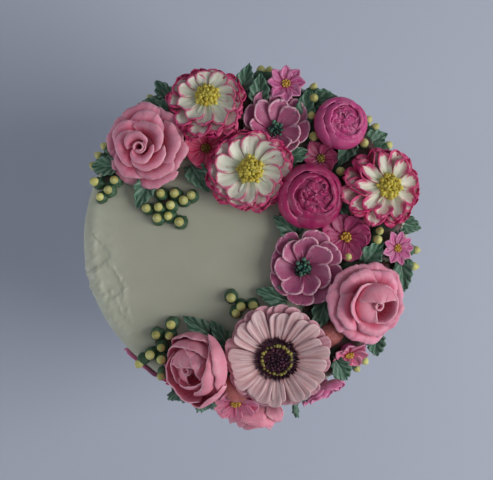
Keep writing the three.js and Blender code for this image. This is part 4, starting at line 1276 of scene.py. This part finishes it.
# Where the knife tore the icing: the line of each crest, its height and width, and how far its right side
# stands above its left, fading out.
tears = [
    ([(-0.0835, -0.0006), (-0.080, -0.0045), (-0.0772, -0.0085), (-0.079, -0.012), (-0.083, -0.0148)],
     0.0, 0.001, 0.0008),
    ([(-0.0767, -0.0153), (-0.074, -0.0187), (-0.0716, -0.0227), (-0.0693, -0.028), (-0.070, -0.0312),
      (-0.0733, -0.033)], 0.00045, 0.0012, 0.0002),
    ([(-0.0693, -0.028), (-0.0693, -0.0346), (-0.068, -0.0405), (-0.0665, -0.046)], 0.0004, 0.0015,
     0.0001),
    ([(-0.0767, -0.0295), (-0.0738, -0.0346), (-0.0704, -0.042)], 0.0004, 0.0012, 0.0001),
    ([(-0.0855, -0.025), (-0.080, -0.0307), (-0.0767, -0.0346)], 0.0003, 0.0016, 0.0),
    ([(-0.0905, -0.013), (-0.0903, -0.0187), (-0.0878, -0.0233), (-0.0872, -0.027), (-0.0855, -0.031)],
     0.0009, 0.0012, 0.0),
    ([(-0.0874, 0.004), (-0.0862, -0.012), (-0.0835, -0.026), (-0.0785, -0.043), (-0.067, -0.056)],
     0.0005, 0.0032, 0.0),
]
# Small lumps on the bare edge: degrees round the cake, how far out, and half the width in degrees.
edgeLumps = [(190, 0.0007, 1.3), (192.5, 0.0009, 0.9), (197, 0.001, 1.0), (199.5, 0.0006, 0.7)]


# The nearest distance to a line through the points given, and whether a point lies on its right.
def fromLine(points, line):
    best = np.full(len(points), 9.0)
    side = np.zeros(len(points))
    for first, second in zip(np.array(line[:-1]), np.array(line[1:])):
        run = second - first
        share = np.clip(((points - first) @ run) / (run @ run), 0, 1)
        away = points - first - share[:, None] * run
        distance = np.linalg.norm(away, axis=1)
        nearer = distance < best
        best = np.where(nearer, distance, best)
        side = np.where(nearer, np.sign(run[0] * away[:, 1] - run[1] * away[:, 0]), side)
    return best, side


# Where the icing was worked over, at the bare edge.
def workedShare(points):
    distance = np.hypot(points[:, 0], points[:, 1])
    turn = np.degrees(np.arctan2(points[:, 1], points[:, 0])) % 360
    around = np.exp(-((turn - icing["bareAt"]) / icing["bareWide"]) ** 2)
    return around * np.clip((distance - icing["bareFrom"]) / icing["bareFade"], 0, 1)


def icedSurface(points):
    distance = np.hypot(points[:, 0], points[:, 1])
    angle = np.arctan2(points[:, 1], points[:, 0])
    onTop = np.clip((points[:, 2] - (cakeTop - 1.2 * cake["edge"])) / cake["edge"], 0, 1)
    strokes = np.stack([points[:, 0] * 0.5, points[:, 1], 0 * distance], 1)
    lift = icing["stroke"] * unevenWave(strokes, 0.03, 5) * onTop
    around = np.stack([distance * 0 + np.cos(angle) * 0.05, np.sin(angle) * 0.05, points[:, 2] * 3], 1)
    swell = 1.6 * icing["stroke"] * unevenWave(around, 0.05, 6) * (1 - onTop)
    flat = points[:, :2] + icing["wander"] * np.stack(
        [unevenWave(points, 0.004, 31), unevenWave(points, 0.004, 32)], 1)
    for line, height, width, step in tears:
        away, side = fromLine(flat, line)
        rough = 1 + 0.45 * unevenWave(points, 0.007, 33)
        lift = lift + height * rough * np.exp(-(away / width) ** 2) * onTop
        rise = 0.5 + 0.5 * np.tanh(side * away / icing["tearRamp"])
        lift = lift + step * rise * np.exp(-(away / icing["tearReach"]) ** 2) * onTop
    turn = np.degrees(angle) % 360
    lift = lift + icing["worked"] * unevenWave(points, 0.016, 34) * workedShare(points) * onTop
    outward = icing["bulge"] * np.exp(-((turn - icing["bulgeAt"]) / icing["bulgeWide"]) ** 2)
    nearEdge = np.exp(-((points[:, 2] - (cakeTop - 0.6 * cake["edge"])) / 0.004) ** 2) * (distance > 0.08)
    for at, size, wide in edgeLumps:
        outward = outward + size * np.exp(-((turn - at) / wide) ** 2) * nearEdge
    points = points.copy()
    points[:, 2] += lift
    grow = 1 + (swell + outward * np.clip(distance / cake["radius"], 0, 1) ** 6) / np.maximum(distance,
                                                                                              0.01)
    points[:, 0] *= grow
    points[:, 1] *= grow
    return points


bottom, radius, edge = cake["bottom"], cake["radius"], cake["edge"]
profile = [(0, bottom), (radius - 0.002, bottom)]
profile += [(radius, z) for z in np.linspace(bottom + 0.001, cakeTop - edge, icing["wallRings"])]
for slant in np.linspace(0, math.pi / 2, icing["edgeRings"] + 1)[1:]:
    profile.append((radius - edge + edge * math.cos(slant), cakeTop - edge + edge * math.sin(slant)))
smeared = np.linspace(radius - edge, radius - 0.026, icing["smearRings"])
profile += [(r, cakeTop) for r in [*smeared[1:], *np.linspace(smeared[-1], 0, icing["topRings"])[1:]]]
fine = np.linspace(icing["fineFrom"], icing["fineTo"], icing["fineSides"], endpoint=False)
coarse = np.linspace(icing["fineTo"], icing["fineFrom"] + 360, icing["coarseSides"], endpoint=False)
columns = np.radians([*fine, *coarse])
icingCream = Nodes("ivory buttercream")
knife = icingCream.noise(1.0, detail=5.0, stretch=(30.0, 95.0, 60.0))
patches = icingCream.noise(22.0, detail=3.0)
ivory = icingCream.mixed(icingCream.spread(patches, 0.3, 0.7), icing["colour"], icing["cloud"])
# Paler at the bare edge on the left: partly whiter worked icing, partly a painted highlight.
ivory = icingCream.mixed(icingCream.value("mark"), ivory, icing["bareColour"])
icingCream.put(icingCream.shader.inputs["Base Color"], ivory)
icingCream.put(icingCream.shader.inputs["Roughness"], icingCream.spread(knife, 0.3, 0.7, 0.42, 0.56))
icingCream.shader.inputs["Subsurface Weight"].default_value = 0.2
icingCream.shader.inputs["Subsurface Radius"].default_value = (1.0, 0.8, 0.5)
icingCream.shader.inputs["Subsurface Scale"].default_value = 0.0015
icingCream.shader.inputs["Specular IOR Level"].default_value = 0.35
icingCream.bumped((knife, 0.22, 0.0006), (icingCream.noise(900.0, detail=3.0), 0.06, 0.0003))
iced = lathe(profile, len(columns), icedSurface, columns)
# Paler towards the left edge: partly whiter worked icing, partly a painted highlight on that side.
bareEdge = np.clip((np.hypot(iced["points"][:, 0], iced["points"][:, 1]) - 0.068) / 0.022, 0, 1)
toLeft = np.clip((-iced["points"][:, 0] - 0.045) / 0.03, 0, 1)
iced["mark"] = 0.85 * bareEdge * toLeft * (0.8 + 0.2 * unevenWave(iced["points"], 0.012, 36))
addPiece("icing", [iced], icingCream.material, ["cake"])
print("cake iced")

# The pedestal stand, turned in white glazed ceramic.
stand = {
    "footRadius": 0.062,
    "footThickness": 0.007,
    "stemRadius": 0.012,
    "plateRadius": 0.103,
    "plateThickness": 0.006,
    "height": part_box("stand")[1].z - 0.0015,  # the rim stands 1.5 mm above the plate
    "sides": 128,
    "glaze": (0.74, 0.73, 0.70),
    "glazeCloud": (0.80, 0.79, 0.76),
    "speck": (0.55, 0.53, 0.48),
}


def standProfile():
    foot, stem = stand["footRadius"], stand["stemRadius"]
    plate, top = stand["plateRadius"], stand["height"]
    thick, under = stand["footThickness"], stand["height"] - stand["plateThickness"]
    points = [(0, 0), (foot - 0.002, 0), (foot - 0.0006, 0.0006), (foot, 0.002), (foot - 0.0004, 0.0036),
              (foot - 0.003, thick), (foot - 0.012, thick + 0.0022)]
    waist = [(2.4 * stem, 2 * thick), (0.8 * stem, 3 * thick), (0.8 * stem, 0.8 * under),
             (2.6 * stem, under - 0.005)]
    points += [tuple(point) for point in bezier(waist, np.linspace(0, 1, 26))]
    points += [(plate - 0.03, under - 0.001), (plate - 0.006, under), (plate - 0.002, under + 0.002),
               (plate, top - 0.001), (plate - 0.0003, top + 0.0009), (plate - 0.0015, top + 0.0015),
               (plate - 0.0028, top + 0.0009), (plate - 0.004, top), (0.5 * plate, top), (0, top)]
    return points


glaze = Nodes("white glazed ceramic")
cloudy = glaze.noise(26.0, detail=3.0)
specks = glaze.spread(glaze.noise(700.0, detail=1.0), 0.68, 0.76)
white = glaze.mixed(glaze.spread(cloudy, 0.3, 0.7), stand["glaze"], stand["glazeCloud"])
glaze.put(glaze.shader.inputs["Base Color"], glaze.mixed(specks, white, stand["speck"]))
glaze.put(glaze.shader.inputs["Roughness"], glaze.spread(cloudy, 0.3, 0.7, 0.14, 0.24))
glaze.shader.inputs["Coat Weight"].default_value = 0.35
glaze.shader.inputs["Coat Roughness"].default_value = 0.08
glaze.bumped((glaze.noise(60.0, detail=2.0), 0.08, 0.001))
addPiece("stand_ceramic", [lathe(standProfile(), stand["sides"])], glaze.material, ["stand"])
print("stand turned")

# The floor, the light and the camera.
studio = {
    "reach": 4,  # half the width of the floor
    "floor": (0.54, 0.585, 0.69),
    "sky": (0.86, 0.9, 1.0),
    "skyStrength": 0.22,
    "aim": (0, 0, 0.15),  # what the lamps point at
}
far = studio["reach"]
floorMesh = bpy.data.meshes.new("floor")
corners = [(-far, -far, 0), (far, -far, 0), (far, far, 0), (-far, far, 0)]
floorMesh.from_pydata(corners, [], [(0, 1, 2, 3)])
floor = bpy.data.objects.new("floor", floorMesh)
scene.collection.objects.link(floor)
floorPaint = Nodes("pale floor")
floorPaint.put(floorPaint.shader.inputs["Base Color"], studio["floor"])
floorPaint.shader.inputs["Roughness"].default_value = 0.7
floorMesh.materials.append(floorPaint.material)

lights = {
    "window": dict(place=(1.15, -0.2, 0.95), size=0.9, power=13.5, colour=(1.0, 0.985, 0.975)),
    "wall": dict(place=(-1.2, -0.35, 0.2), size=0.5, power=3.5, colour=(0.96, 0.98, 1.0)),
    "fill": dict(place=(-0.7, 0.5, 1.5), size=1.4, power=1.1, colour=(0.92, 0.95, 1.0)),
}
for name, light in lights.items():
    data = bpy.data.lights.new(name, "AREA")
    data.size = light["size"]
    data.energy = light["power"]
    data.color = light["colour"]
    lamp = bpy.data.objects.new(name, data)
    lamp.location = light["place"]
    aim = Vector(studio["aim"]) - Vector(light["place"])
    lamp.rotation_euler = aim.to_track_quat("-Z", "Y").to_euler()
    scene.collection.objects.link(lamp)

world = bpy.data.worlds.new("studio")
world.use_nodes = True
sky = world.node_tree.nodes["Background"]
sky.inputs["Color"].default_value = (*studio["sky"], 1)
sky.inputs["Strength"].default_value = studio["skyStrength"]
scene.world = world

photo = {
    "height": 0.6,  # camera above the cake's top
    "acrossTop": 0.28,  # width of the picture at the cake's top
    "centre": (-0.0003, -0.0006),
}
camera = bpy.data.objects.new("camera", bpy.data.cameras.new("camera"))
camera.location = (*photo["centre"], cakeTop + photo["height"])
camera.data.lens = camera.data.sensor_width * photo["height"] / photo["acrossTop"]
scene.collection.objects.link(camera)
scene.camera = camera
print("light and camera set")
